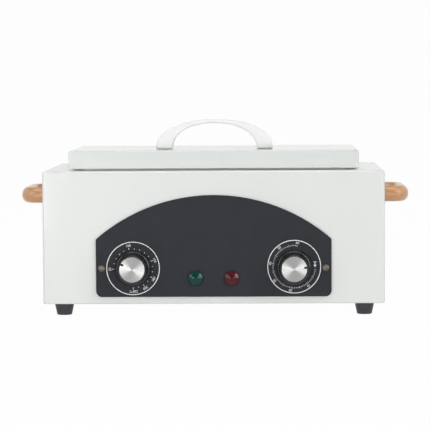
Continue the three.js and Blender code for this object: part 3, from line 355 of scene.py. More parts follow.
# Silicone seal in dark grey. Its darkness is also painted shade for the gap under the lid.
SILICONE_AND_GAP_SHADE = Finish(
    "seal_silicone_and_gap_shade", Slot.DARK_SILICONE, "303236", 0.66, grain_size=0.5, mottle=0.08,
    mottle_size=10.0, wear_and_painted_light=0.2, specular=0.35)
WOOL = Finish(
    "wool_batt", Slot.MINERAL_WOOL, "D8CFAE", 0.95, grain=Grain.FIBRES, grain_size=1.4,
    grain_depth=0.6, mottle=0.16, mottle_size=5.0, wear_and_painted_light=0.2, sheen=0.2, specular=0.1)
SHEATH = Finish(
    "heat_darkened_sheath", Slot.SHEATH_STEEL, "6D6A64", 0.5, metallic=1.0, grain_size=0.8,
    grain_depth=0.02, mottle=0.25, mottle_size=9.0, wear_and_painted_light=0.2)
COPPER = Finish(
    "bare_copper", Slot.COPPER, "B87548", 0.36, metallic=1.0, grain_size=0.6, mottle=0.16,
    mottle_size=6.0, wear_and_painted_light=0.2)
CERAMIC = Finish(
    "pale_insulator", Slot.PALE_CERAMIC, "E6E0D2", 0.6, grain_size=0.6, grain_depth=0.03,
    mottle=0.06, mottle_size=7.0)
SLOT_FINISHES = {
    finish.slot.value: finish for finish in (
        POWDER_COAT_PAINTED_HIGHLIGHT, HANDLE_WHITE, CHARCOAL_PAINTED_SHADE, BLACK_MOULDING, RUBBER, SPUN, STAINLESS, ZINC,
        NICKEL_BRASS, TAN, GREEN_LENS, RED_LENS, SILICONE_AND_GAP_SHADE, WOOL, SHEATH, COPPER, CERAMIC)
}


def deselect() -> None:
    """Leave edit mode and deselect every object."""
    if bpy.context.object and bpy.context.object.mode != "OBJECT":
        bpy.ops.object.mode_set(mode="OBJECT")
    bpy.ops.object.select_all(action="DESELECT")


def take(piece: Piece) -> None:
    """Select one piece alone and make it active.

    Args:
        piece: the piece to work on.
    """
    deselect()
    piece.select_set(True)
    bpy.context.view_layer.objects.active = piece


def adopt(name: str) -> Piece:
    """Name the active piece and put its place, turn and scale into its mesh.

    Args:
        name: name of the piece and of its mesh.

    Returns:
        The piece.
    """
    piece = bpy.context.object
    piece.name = name
    piece.data.name = name
    take(piece)
    bpy.ops.object.transform_apply(location=True, rotation=True, scale=True)
    return piece


def spot(x: float, y: float, z: float) -> Vector:
    """A place in millimetres as a vector in metres."""
    return Vector((x, y, z)) * MM


def block(name: str, low: Sequence[float], high: Sequence[float]) -> Piece:
    """Add a box.

    Args:
        name: the piece's name.
        low: its lowest corner in millimetres.
        high: its highest corner in millimetres.

    Returns:
        The box, in object mode.
    """
    deselect()
    bpy.ops.mesh.primitive_cube_add(size=1, location=[(a + b) / 2 * MM for a, b in zip(low, high)])
    bpy.context.object.scale = [(b - a) * MM for a, b in zip(low, high)]
    return adopt(name)


def edit(kind: str = "VERT") -> None:
    """Go into edit mode with everything selected.

    Args:
        kind: what is selected, VERT, EDGE or FACE.
    """
    bpy.ops.object.mode_set(mode="EDIT")
    bpy.ops.mesh.select_mode(type=kind)
    bpy.ops.mesh.select_all(action="SELECT")


def begin(name: str, place: Vector) -> Piece:
    """Start a piece as one vertex, left selected in edit mode.

    Args:
        name: the piece's name.
        place: the vertex's place in metres.

    Returns:
        The piece.
    """
    deselect()
    bpy.ops.mesh.primitive_plane_add(size=MM, location=place)
    piece = adopt(name)
    edit()
    bpy.ops.mesh.merge(type="CENTER")
    return piece


def trace(places: Sequence[Vector]) -> None:
    """Extrude the selected vertex from the first place through all the others."""
    for start, end in zip(places, places[1:]):
        bpy.ops.mesh.extrude_vertices_move(TRANSFORM_OT_translate={"value": end - start})


def extrude(shift: Sequence[float] = (0.0, 0.0, 0.0)) -> None:
    """Extrude what is selected in edit mode by a shift in metres."""
    bpy.ops.mesh.extrude_region_move(TRANSFORM_OT_translate={"value": shift})


def weld() -> None:
    """Merge everything in edit mode that lies together."""
    bpy.ops.mesh.select_all(action="SELECT")
    bpy.ops.mesh.remove_doubles(threshold=WELD * MM)


def close_up() -> None:
    """Point the faces of a closed mesh outwards and leave edit mode."""
    bpy.ops.mesh.select_all(action="SELECT")
    bpy.ops.mesh.normals_make_consistent(inside=False)
    bpy.ops.object.mode_set(mode="OBJECT")


def turned(name: str, profile: Sequence[Point2], axis: Axis, centre: Point3, steps: int = 64) -> Piece:
    """Turn a profile about an axis.

    Args:
        name: the piece's name.
        profile: radius and reach along the axis of each point, in millimetres.
        axis: the axis that the profile turns about.
        centre: the point of the axis at reach zero, in millimetres.
        steps: number of sides.

    Returns:
        The turned solid, in object mode.
    """
    base = spot(*centre)
    places = [base + (axis.out * radius + axis.along * reach) * MM for radius, reach in profile]
    piece = begin(name, places[0])
    trace(places)
    bpy.ops.mesh.select_all(action="SELECT")
    bpy.ops.mesh.spin(steps=steps, angle=2 * math.pi, center=base, axis=axis.along)
    weld()
    close_up()
    return piece


def drum(name: str, radius: float, reach: Point2, axis: Axis, centre: Point3, steps: int = 32) -> Piece:
    """Turn a plain cylinder that reaches from one distance along its axis to another."""
    start, end = reach
    return turned(name, [(0, start), (radius, start), (radius, end), (0, end)], axis, centre, steps)


def drills(holes: Iterable[Point3], front: float, steps: int) -> list[Piece]:
    """Make the cutters of round holes in a front face, the same on the left and the right.

    Args:
        holes: radius, distance from the middle plane and height of each hole, in millimetres.
        front: where the face lies from front to back.
        steps: number of sides of each cutter.

    Returns:
        The cutters, two for each hole.
    """
    return [
        drum("hole", radius, THROUGH, Axis.FORWARD, (side * x, front, z), steps)
        for _, side in SIDES for radius, x, z in holes]


def sheet_face(name: str, outline: Sequence[Vector]) -> Piece:
    """Fill an outline with one face, left selected in edit mode.

    Args:
        name: the piece's name.
        outline: its corners in metres.

    Returns:
        The piece.
    """
    piece = begin(name, outline[0])
    trace([*outline, outline[0]])
    weld()
    bpy.ops.mesh.edge_face_add()
    edit("FACE")
    return piece


def slab(name: str, outline: Sequence[Vector], push: Vector) -> Piece:
    """Give an outline a thickness.

    Args:
        name: the piece's name.
        outline: its corners in metres.
        push: direction and thickness in metres.

    Returns:
        The solid, in object mode.
    """
    piece = sheet_face(name, outline)
    extrude(push)
    close_up()
    return piece


def eased(corners: Sequence[Point3], steps: int = 8) -> list[Point2]:
    """Round the corners of an outline.

    Args:
        corners: each corner's two coordinates and its radius.
        steps: straight parts of each rounding.

    Returns:
        The outline's points.
    """
    points: list[Point2] = []
    for i, (x, y, radius) in enumerate(corners):
        if radius <= 0:
            points.append((x, y))
            continue
        here = Vector((x, y))
        before = (Vector(corners[i - 1][:2]) - here).normalized()
        after = (Vector(corners[(i + 1) % len(corners)][:2]) - here).normalized()
        half_turn = (math.pi - before.angle(after)) / 2
        middle = here + (before + after).normalized() * radius / math.cos(half_turn)
        reach = radius * math.tan(half_turn)
        first, last = (math.atan2(*(here + way * reach - middle).yx) for way in (before, after))
        sweep = (last - first + math.pi) % (2 * math.pi) - math.pi
        for step in range(steps + 1):
            angle = first + sweep * step / steps
            points.append((middle.x + radius * math.cos(angle), middle.y + radius * math.sin(angle)))
    return points


def rounded_box(half_x: float, half_y: float, radius: float, middle: Point2 = (0.0, 0.0),
                steps: int = 8) -> list[Point2]:
    """Outline of a rectangle with round corners, from its half sizes and its middle."""
    signs = ((-1, -1), (1, -1), (1, 1), (-1, 1))
    return eased([(middle[0] + i * half_x, middle[1] + j * half_y, radius) for i, j in signs], steps)


def level(points: Iterable[Point2], z: float) -> list[Vector]:
    """Lay an outline flat at a height."""
    return [spot(x, y, z) for x, y in points]


def upright(points: Iterable[Point2], y: float) -> list[Vector]:
    """Stand an outline up at a depth, its second coordinate up."""
    return [spot(x, y, z) for x, z in points]


def apply_modifier(piece: Piece, kind: str, **settings: object) -> None:
    """Add a modifier and apply it.

    Args:
        piece: the piece to change.
        kind: the modifier's type.
        settings: its properties by name.
    """
    take(piece)
    modifier = piece.modifiers.new(kind.lower(), kind)
    for name, value in settings.items():
        setattr(modifier, name, value)
    bpy.ops.object.modifier_apply(modifier=modifier.name)


def soften(piece: Piece, width: float, segments: int = 3, angle: float = 60.0) -> None:
    """Round the sharp edges of a piece.

    Args:
        piece: the piece to change.
        width: how far the rounding reaches from an edge, in millimetres.
        segments: straight parts of the rounding.
        angle: edges sharper than this are rounded, in degrees.
    """
    apply_modifier(
        piece, "BEVEL", width=width * MM, segments=segments, limit_method="ANGLE",
        angle_limit=math.radians(angle), miter_outer="MITER_ARC")


def wall(piece: Piece, thickness: float, side: float = -1.0) -> None:
    """Give a sheet its wall: behind its faces at side -1, in front of them at side 1."""
    apply_modifier(piece, "SOLIDIFY", thickness=thickness * MM, offset=side, use_even_offset=True)


def join(name: str, pieces: Sequence[Piece]) -> Piece:
    """Join pieces into one.

    Args:
        name: the whole's name.
        pieces: the pieces, of which the first takes in the others.

    Returns:
        The whole.
    """
    take(pieces[0])
    for piece in pieces[1:]:
        piece.select_set(True)
    if len(pieces) > 1:
        bpy.ops.object.join()
    return adopt(name)


def cut(piece: Piece, others: Sequence[Piece], operation: str = "DIFFERENCE") -> None:
    """Cut other pieces out of a piece, or make them one with it.

    Args:
        piece: the piece that stays.
        others: the pieces to use up, which lie clear of each other.
        operation: DIFFERENCE to cut them out, UNION to make them one with it.
    """
    tool = join("tool", others)
    apply_modifier(piece, "BOOLEAN", operation=operation, solver="EXACT", object=tool)
    bpy.data.objects.remove(tool)


def pick(piece: Piece, kind: str, test: Callable[[Vector, Vector], bool]) -> None:
    """Select edges or faces by a test, and go into edit mode.

    Args:
        piece: the piece to select on.
        kind: EDGE to test the two ends of each edge, FACE to test the middle and normal of each face.
        test: says whether an edge or face is selected.
    """
    take(piece)
    edit(kind)
    bpy.ops.mesh.select_all(action="DESELECT")
    bpy.ops.object.mode_set(mode="OBJECT")
    mesh = piece.data
    if kind == "FACE":
        for face in mesh.polygons:
            face.select = test(face.center, face.normal)
    else:
        for edge in mesh.edges:
            edge.select = test(*(mesh.vertices[i].co for i in edge.vertices))
    bpy.ops.object.mode_set(mode="EDIT")


def bend_edges(radius: float, segments: int) -> None:
    """Round the edges selected in edit mode by a radius in millimetres, and leave edit mode."""
    bpy.ops.mesh.bevel(offset=radius * MM, offset_type="OFFSET", segments=segments, affect="EDGES")
    bpy.ops.object.mode_set(mode="OBJECT")


def twin(piece: Piece, name: str, shift: Sequence[float] = (0.0, 0.0, 0.0), mirror: bool = False) -> Piece:
    """Copy a piece with its own mesh.

    Args:
        piece: the piece to copy.
        name: the copy's name.
        shift: how far the copy moves, in metres.
        mirror: whether the copy goes to the other side of the middle plane.

    Returns:
        The copy, in object mode.
    """
    take(piece)
    bpy.ops.object.duplicate()
    bpy.context.object.location = shift
    bpy.context.object.scale.x = -1 if mirror else 1
    copy = adopt(name)
    if mirror:
        edit()
        close_up()
    return copy


@dataclass
class Run:
    """A straight stretch of a bar, with the scale of its section at the end."""

    move: Point3
    scale: float = 1.0


@dataclass
class Bend:
    """A turn of a bar about a centre."""

    centre: Point3
    axis: Point3
    degrees: float
    steps: int = 10


def bar(name: str, start: Point3, axis: Axis, half: Point2, route: Sequence[Run | Bend],
        sides: int = 32) -> Piece:
    """Draw a bar of elliptic section along a route.

    Args:
        name: the piece's name.
        start: middle of its first end, in millimetres.
        axis: the way that it sets out, UP or ACROSS.
        half: half sizes of its section, before the turn that sets it square to the axis.
        route: its runs and bends in order.
        sides: number of sides of the section.

    Returns:
        The bar with closed ends, in object mode.
    """
    deselect()
    here = spot(*start)
    turn = (0, math.pi / 2, 0) if axis is Axis.ACROSS else (0, 0, 0)
    bpy.ops.mesh.primitive_circle_add(vertices=sides, radius=1, location=here, rotation=turn)
    bpy.context.object.scale = (half[0] * MM, half[1] * MM, MM)
    piece = adopt(name)
    edit()
    for part in route:
        if isinstance(part, Run):
            here = here + spot(*part.move)
            extrude(spot(*part.move))
            if part.scale != 1.0:
                bpy.ops.transform.resize(value=[part.scale] * 3, center_override=here)
        else:
            angle, centre, about = math.radians(part.degrees), spot(*part.centre), Vector(part.axis)
            bpy.ops.mesh.spin(steps=part.steps, angle=-angle, center=centre, axis=about)
            here = centre + Matrix.Rotation(angle, 3, about) @ (here - centre)
    weld()
    bpy.ops.mesh.fill_holes(sides=0)
    close_up()
    return piece


def present(piece: Piece, finish: Finish, body: Body, *nodes: str, angle: float = SMOOTH_ANGLE) -> None:
    """Smooth a finished piece, give it its finish and seat it in the frame.

    Args:
        piece: the finished piece.
        finish: its surface finish.
        body: the body that it rides on.
        nodes: the CAD nodes that it stands for.
        angle: edges sharper than this stay sharp, in radians.
    """
    take(piece)
    bpy.ops.object.shade_smooth_by_angle(angle=angle)
    apply_modifier(piece, "WEIGHTED_NORMAL", keep_sharp=True)
    piece.data.materials.clear()
    piece.data.materials.append(finish.material())
    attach(piece, body.value)
    if nodes:
        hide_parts(*nodes)
    log.info("%s: %d faces on %s", piece.name, len(piece.data.polygons), body.value)


class SubAssembly:
    """Pieces that are built and finished together."""

    def build(self) -> None:
        """Build the pieces, give them their finishes and seat them in the frame."""
        raise NotImplementedError


@dataclass
class Cover:
    """Folded sheet-metal cover, open below, with a lip turned inwards round its mouth."""

    name: str
    low: Point3
    high: Point3
    bend: float
    lip: float
    fold: float = 1.6
    sheet: float = 1.2
    bend_steps: int = 6
    fold_steps: int = 4

    def build(self) -> Piece:
        """Build the cover.

        Returns:
            The cover with its wall.
        """
        cover = block(self.name, self.low, self.high)
        pick(cover, "FACE", lambda middle, normal: normal.z < -0.5)
        bpy.ops.mesh.delete(type="FACE")
        mouth = (self.low[2] + HAIR) * MM
        pick(cover, "EDGE", lambda a, b: max(a.z, b.z) > mouth)
        bend_edges(self.bend, self.bend_steps)
        pick(cover, "EDGE", lambda a, b: max(a.z, b.z) < mouth)
        extrude()
        width, depth = self.high[0] - self.low[0], self.high[1] - self.low[1]
        middle = spot((self.low[0] + self.high[0]) / 2, (self.low[1] + self.high[1]) / 2, self.low[2])
        lips = 2 * (self.sheet + self.lip)
        bpy.ops.transform.resize(value=(1 - lips / width, 1 - lips / depth, 1), center_override=middle)
        inner_x, inner_y = (width / 2 - self.sheet) * MM, (depth / 2 - self.sheet) * MM

        def outside(v: Vector) -> bool:
            """Whether a point of the mouth lies on its outer edge."""
            return v.z < mouth and (abs(v.x - middle.x) > inner_x or abs(v.y - middle.y) > inner_y)

        pick(cover, "EDGE", lambda a, b: outside(a) and outside(b))
        bend_edges(self.fold, self.fold_steps)
        wall(cover, self.sheet)
        return cover


@dataclass
class Case(SubAssembly):
    """White steel case: a cover with its mouth, louvres and holes."""

    half_width: float = 170.0
    front: float = -92.1
    back: float = 107.9
    bottom: float = 12.0
    top: float = 144.3
    bend: float = 2.5
    lip: float = 6.0
    mouth: Point3 = (134.8, 68.8, 15.8)
    vent: Point2 = (1.5, 11.0)
    vent_rows: tuple[float, ...] = (-100.0, -30.0)
    vents_in_row: int = 5
    vent_pitch: float = 9.0
    vent_height: float = 44.0
    holes: tuple[Point3, ...] = (
        (5.3, LAYOUT.dial_x, LAYOUT.dial_z), (6.3, LAYOUT.lamp_x, LAYOUT.lamp_z))
    inlet_half: Point2 = (14.3, 10.55)

    def vent_cutters(self) -> list[Piece]:
        """Make the cutters of the louvres, row by row.

        Returns:
            The cutters.
        """
        cutters = []
        for row in self.vent_rows:
            for i in range(self.vents_in_row):
                place = (row + (i - (self.vents_in_row - 1) / 2) * self.vent_pitch, self.vent_height)
                outline = rounded_box(*self.vent, self.vent[0] - HAIR, place, steps=5)
                cutters.append(
                    slab("vent", upright(outline, self.back - OVERRUN), spot(0, 2 * OVERRUN, 0)))
        return cutters

    def build(self) -> None:
        """Fold the cover, cut its openings and powder-coat it."""
        cover = Cover(
            "case_cover", (-self.half_width, self.front, self.bottom),
            (self.half_width, self.back, self.top), self.bend, self.lip).build()
        mouth = rounded_box(*self.mouth, (0.0, LAYOUT.middle_y))
        cutters = [slab("mouth", level(mouth, self.top - OVERRUN), spot(0, 0, 2 * OVERRUN))]
        cutters += self.vent_cutters()
        x, z = LAYOUT.inlet_x, LAYOUT.inlet_z
        wide, high = self.inlet_half
        low = (x - wide, self.back - OVERRUN, z - high)
        cutters.append(block("inlet_cut", low, (x + wide, self.back + OVERRUN, z + high)))
        cut(cover, cutters + drills(self.holes, self.front, 32))
        present(cover, POWDER_COAT_PAINTED_HIGHLIGHT, Body.HOUSING, "case_shell")


@dataclass
class Feet(SubAssembly):
    """Four tapered rubber feet with a recess below for the screw."""

    places: tuple[tuple[str, float, float], ...] = (
        ("front_left", -150.3, -74.1), ("front_right", 150.3, -74.1),
        ("rear_left", -150.3, 89.9), ("rear_right", 150.3, 89.9))
    top_radius: float = 9.9
    bottom_radius: float = 7.4
    height: float = 13.2
    toe: Point2 = (0.3, 1.6)
    collar: float = 1.2
    recess: Point2 = (4.6, 6.0)
    bore: float = 2.3
    edge: float = 0.6

    def build(self) -> None:
        """Turn one foot in rubber and copy it to the other corners."""
        recess, depth = self.recess
        profile = [
            (recess, 0.0), (self.bottom_radius, 0.0), (self.bottom_radius + self.toe[0], self.toe[1]),
            (self.top_radius, self.height - self.collar), (self.top_radius, self.height),
            (self.bore, self.height), (self.bore, depth), (recess, depth), (recess, 0.0)]
        first, first_x, first_y = self.places[0]
        foot = turned(f"rubber_{first}", profile, Axis.UP, (first_x, first_y, 0))
        soften(foot, self.edge, angle=40.0)
        feet = [foot]
        for name, x, y in self.places[1:]:
            feet.append(twin(foot, f"rubber_{name}", spot(x - first_x, y - first_y, 0)))
        for (name, _, _), piece in zip(self.places, feet):
            present(piece, RUBBER, Body.HOUSING, f"foot_{name}")


@dataclass
class DialFace(SubAssembly):
    """White print round one knob: a ring, a scale and its numbers."""

    name: str
    x: float
    z: float
    ticks: tuple[tuple[float, float, int, float, float, float], ...]
    labels: tuple[tuple[str, float], ...]
    label_radius: float
    label_size: float = 3.4
    label_lift: float = 0.01
    surface: float = LAYOUT.panel_front
    ring_radius: float = 26.2
    ring_width: float = 0.75
    print_depth: float = 0.05
    print_sink: float = 0.02
    arrow: tuple[tuple[Point2, ...], ...] = ()

    def printed(self, outline: Iterable[Point2]) -> Piece:
        """Print an outline on the panel."""
        push = spot(0, -self.print_depth - self.print_sink, 0)
        return slab("print", upright(outline, self.surface + self.print_sink), push)

    def stroke(self, angle: float, inner: float, outer: float, width: float) -> Piece:
        """Print a radial stroke.

        Args:
            angle: its direction from the dial's middle, in degrees.
            inner: the radius where it starts.
            outer: the radius where it ends.
            width: its width.

        Returns:
            The stroke.
        """
        way = Vector((math.cos(math.radians(angle)), math.sin(math.radians(angle))))
        side = Vector((-way.y, way.x)) * width / 2
        middle = Vector((self.x, self.z))
        return self.printed([
            middle + way * inner - side, middle + way * outer - side,
            middle + way * outer + side, middle + way * inner + side])

    def build_scale(self) -> Piece:
        """Print the first stroke of each series and repeat it round the dial.

        Returns:
            The scale.
        """
        strokes = []
        for first, step, count, inner, outer, width in self.ticks:
            stroke = self.stroke(first, inner, outer, width)
            take(stroke)
            edit()
            bpy.ops.mesh.spin(
                steps=count - 1, angle=math.radians(-step * (count - 1)), dupli=True,
                center=spot(self.x, self.surface, self.z), axis=(0, -1, 0))
            strokes.append(stroke)
        return join(f"{self.name}_scale", strokes)

    def build_label(self, text: str, angle: float) -> Piece:
        """Write one number with its top towards the ring.

        Args:
            text: the number.
            angle: its direction from the dial's middle, in degrees.

        Returns:
            The number as a mesh.
        """
        deselect()
        way = math.radians(angle)
        place = spot(
            self.x + self.label_radius * math.cos(way), self.surface - self.label_lift,
            self.z + self.label_radius * math.sin(way))
        bpy.ops.object.text_add(location=place, rotation=(math.pi / 2, math.pi / 2 - way, 0))
        data = bpy.context.object.data
        data.body = text
        data.size = self.label_size * MM
        data.extrude = self.print_depth / 2 * MM
        data.align_x = "CENTER"
        data.align_y = "CENTER"
        bpy.ops.object.convert(target="MESH")
        label = adopt("label")
        edit()
        weld()
        return label

    def build(self) -> None:
        """Print the ring, the scale, the numbers and the arrow in white."""
        inner, outer = self.ring_radius - self.ring_width / 2, self.ring_radius + self.ring_width / 2
        low, high = -self.print_sink, self.print_depth
        profile = [(inner, low), (outer, low), (outer, high), (inner, high), (inner, low)]
        ring = turned(f"{self.name}_ring", profile, Axis.FORWARD, (self.x, self.surface, self.z), steps=128)
        labels = [self.build_label(text, angle) for text, angle in self.labels]
        for outline in self.arrow:
            labels.append(self.printed([(self.x + x, self.z + z) for x, z in outline]))
        for piece in (ring, self.build_scale(), join(f"{self.name}_numbers", labels)):
            present(piece, DIAL_PRINT, Body.HOUSING)


@dataclass
class ControlPanel(SubAssembly):
    """Charcoal plate with straight sides under an arched top."""

    half_width: float = 117.0
    bottom: float = 19.2
    side_top: float = 76.6
    top: float = 120.3
    front: float = LAYOUT.panel_front
    back: float = -92.4
    corner: float = 6.0
    shoulder: float = 3.0
    arch_steps: int = 72
    edge: float = 0.35
    holes: tuple[Point3, ...] = (
        (3.3, LAYOUT.dial_x, LAYOUT.dial_z), (6.3, LAYOUT.lamp_x, LAYOUT.lamp_z),
        (1.9, LAYOUT.panel_screw_x, LAYOUT.dial_z))

    def outline(self) -> list[Point2]:
        """Outline of the plate, seen from the front.

        Returns:
            Its points, with the corners and shoulders rounded.
        """
        rise = self.top - self.side_top
        radius = (self.half_width ** 2 + rise ** 2) / (2 * rise)
        half_sweep = math.asin(self.half_width / radius)
        corners = [(side * self.half_width, self.bottom, self.corner) for _, side in SIDES]
        for i in range(self.arch_steps + 1):
            angle = half_sweep * (1 - 2 * i / self.arch_steps)
            ease = self.shoulder if i in (0, self.arch_steps) else 0.0
            corners.append((radius * math.sin(angle), self.top - radius + radius * math.cos(angle), ease))
        return eased(corners)

    def build(self) -> None:
        """Cut the plate and its holes, and print it charcoal."""
        plate = slab("panel_plate", upright(self.outline(), self.back), spot(0, self.front - self.back, 0))
        soften(plate, self.edge)
        cut(plate, drills(self.holes, self.front, 40))
        present(plate, CHARCOAL_PAINTED_SHADE, Body.HOUSING, "control_panel")


@dataclass
class Knob(SubAssembly):
    """Black knob with a skirt and a spun cap that carries the pointer notch."""

    name: str
    body: Body
    x: float
    notch_degrees: float
    z: float = LAYOUT.dial_z
    back: float = -94.6
    skirt: Point2 = (17.6, 3.6)
    skirt_ease: tuple[Point2, ...] = ((0.0, 0.4), (0.3, 0.65), (0.9, 0.87))
    grip: Point2 = (14.8, 13.9)
    grip_flare: tuple[Point2, ...] = ((1.3, 0.0), (0.6, 0.4), (0.2, 1.1), (0.0, 2.0))
    tip_ease: float = 0.9
    height: float = 18.5
    cap_radius: float = 12.5
    cap_thickness: float = 1.6
    cap_proud: float = 0.6
    cap_gap: float = 0.3
    edge: float = 0.35
    notch: Point2 = (3.0, 2.4)
    notch_steps: int = 8
    bore: Point2 = (3.3, 12.3)
    sides: int = 96

    def build(self) -> None:
        """Turn the knob and the cap, cut the notch and finish both."""
        skirt, skirt_height = self.skirt
        base, tip = self.grip
        bore, depth = self.bore
        front = self.height + self.cap_proud
        behind = front - self.cap_thickness
        seat, floor = self.cap_radius + self.cap_gap, behind - self.cap_gap
        profile = [(0, depth), (bore, depth), (bore, 0), (skirt, 0)]
        profile += [(skirt - less, skirt_height * share) for less, share in self.skirt_ease]
        profile += [(base + more, skirt_height + up) for more, up in self.grip_flare]
        profile += [
            (tip, self.height - self.tip_ease), (tip - self.tip_ease, self.height), (seat, self.height),
            (seat, floor), (0, floor)]
        centre = (self.x, self.back, self.z)
        knob = turned(f"{self.name}_grip", profile, Axis.FORWARD, centre, self.sides)
        soften(knob, self.edge, angle=25.0)
        cap = drum(
            f"{self.name}_cap", self.cap_radius, (behind, front), Axis.FORWARD, centre, self.sides)
        soften(cap, self.edge)
        cut(cap, [self.notch_cutter(self.back - front)])
        present(knob, BLACK_MOULDING, self.body, f"{self.name}_knob")
        face = replace(SPUN, name=f"spun_{self.name}", centre=(self.x, self.back - front, self.z))
        present(cap, face, self.body, f"{self.name}_knob_cap")

    def notch_cutter(self, face: float) -> Piece:
        """Make the cutter of the pointer notch in the cap's rim, round at its inner end.

        Args:
            face: where the cap's face lies from front to back.

        Returns:
            The cutter.
        """
        depth, width = self.notch
        way = math.radians(self.notch_degrees)
        along = Vector((math.cos(way), math.sin(way)))
        side = Vector((-along.y, along.x)) * width / 2
        middle = Vector((self.x, self.z))
        round_end = middle + along * (self.cap_radius - depth + width / 2)
        points = []
        for step in range(self.notch_steps + 1):
            turn = math.pi / 2 + math.pi * step / self.notch_steps
            points.append(round_end + along * width / 2 * math.cos(turn) + side * math.sin(turn))
        outer = middle + along * (self.cap_radius + OVERRUN)
        outline = upright([*points, outer - side, outer + side], face - OVERRUN)
        return slab("notch", outline, spot(0, self.cap_thickness + 2 * OVERRUN, 0))


@dataclass
class SignalLamp(SubAssembly):
    """Lens of a signal lamp: a slightly domed top above a sloping flank, and a thin collar."""

    name: str
    x: float
    finish: Finish
    z: float = LAYOUT.lamp_z
    back: float = -94.3
    profile: tuple[Point2, ...] = (
        (0.0, 0.0), (7.6, 0.0), (7.6, 0.72), (7.25, 1.2), (7.2, 1.35), (7.05, 1.6), (6.8, 1.85),
        (3.85, 3.6), (3.6, 3.73), (3.3, 3.85), (2.9, 3.96), (2.2, 4.07), (1.5, 4.15), (0.7, 4.19),
        (0.0, 4.2))

    def build(self) -> None:
        """Turn the lens and colour it."""
        lens = turned(f"{self.name}_lens_dome", self.profile, Axis.FORWARD, (self.x, self.back, self.z))
        present(lens, self.finish, Body.HOUSING, f"{self.name}_lamp_lens")


@dataclass
class CrossScrew:
    """Screw with a raised head inside a rim, and a cross recess."""

    name: str
    place: Point3
    axis: Axis
    shank: Point2
    head: Point2
    recess_degrees: float
    crown_shares: tuple[Point2, ...] = (
        (1.0, 0.3), (0.97, 0.42), (0.9, 0.5), (0.82, 0.48), (0.72, 0.3), (0.66, 0.3), (0.62, 0.45),
        (0.56, 0.68), (0.47, 0.84), (0.36, 0.93), (0.2, 0.98), (0.0, 1.0))
    recess: Point2 = (0.46, 1.5)
    recess_share: float = 0.46
    sides: int = 40

    def cross(self) -> list[Vector]:
        """Outline of the recess about the screw's middle.

        Returns:
            Its twelve corners.
        """
        half, far = self.recess[0], self.head[0] * self.recess_share
        middle = Vector((self.place[0], self.place[2]))
        points = []
        for quarter in range(4):
            turn = Matrix.Rotation(math.radians(self.recess_degrees + 90 * quarter), 2)
            points += [middle + turn @ Vector(c) for c in ((-half, -far), (half, -far), (half, -half))]
        return points

    def build(self) -> Piece:
        """Turn the screw and cut its recess.

        Returns:
            The screw, its head facing along its axis.
        """
        radius, height = self.head
        shank, length = self.shank
        profile = [(0, -length), (shank, -length), (shank, 0), (radius, 0)]
        profile += [(radius * out, height * up) for out, up in self.crown_shares]
        screw = turned(self.name, profile, self.axis, self.place, self.sides)
        way = self.axis.along.y
        front = self.place[1] + way * (height + OVERRUN)
        push = spot(0, -way * (self.recess[1] + OVERRUN), 0)
        cut(screw, [slab("recess", upright(self.cross(), front), push)])
        return screw


@dataclass
class ScrewPair(SubAssembly):
    """Two cross-recess screws side by side, each stopped at its own turn."""

    node: str
    piece: str
    middle: Point3
    reach: float
    axis: Axis
    shank: Point2
    head: Point2
    turns: Point2
    finish: Finish

    def build(self) -> None:
        """Turn both screws and plate them."""
        x, y, z = self.middle
        for (name, side), degrees in zip(SIDES, self.turns):
            place = (x + side * self.reach, y, z)
            screw = CrossScrew(
                self.piece.format(name), place, self.axis, self.shank, self.head, degrees).build()
            present(screw, self.finish, Body.HOUSING, f"{self.node}_{name}")


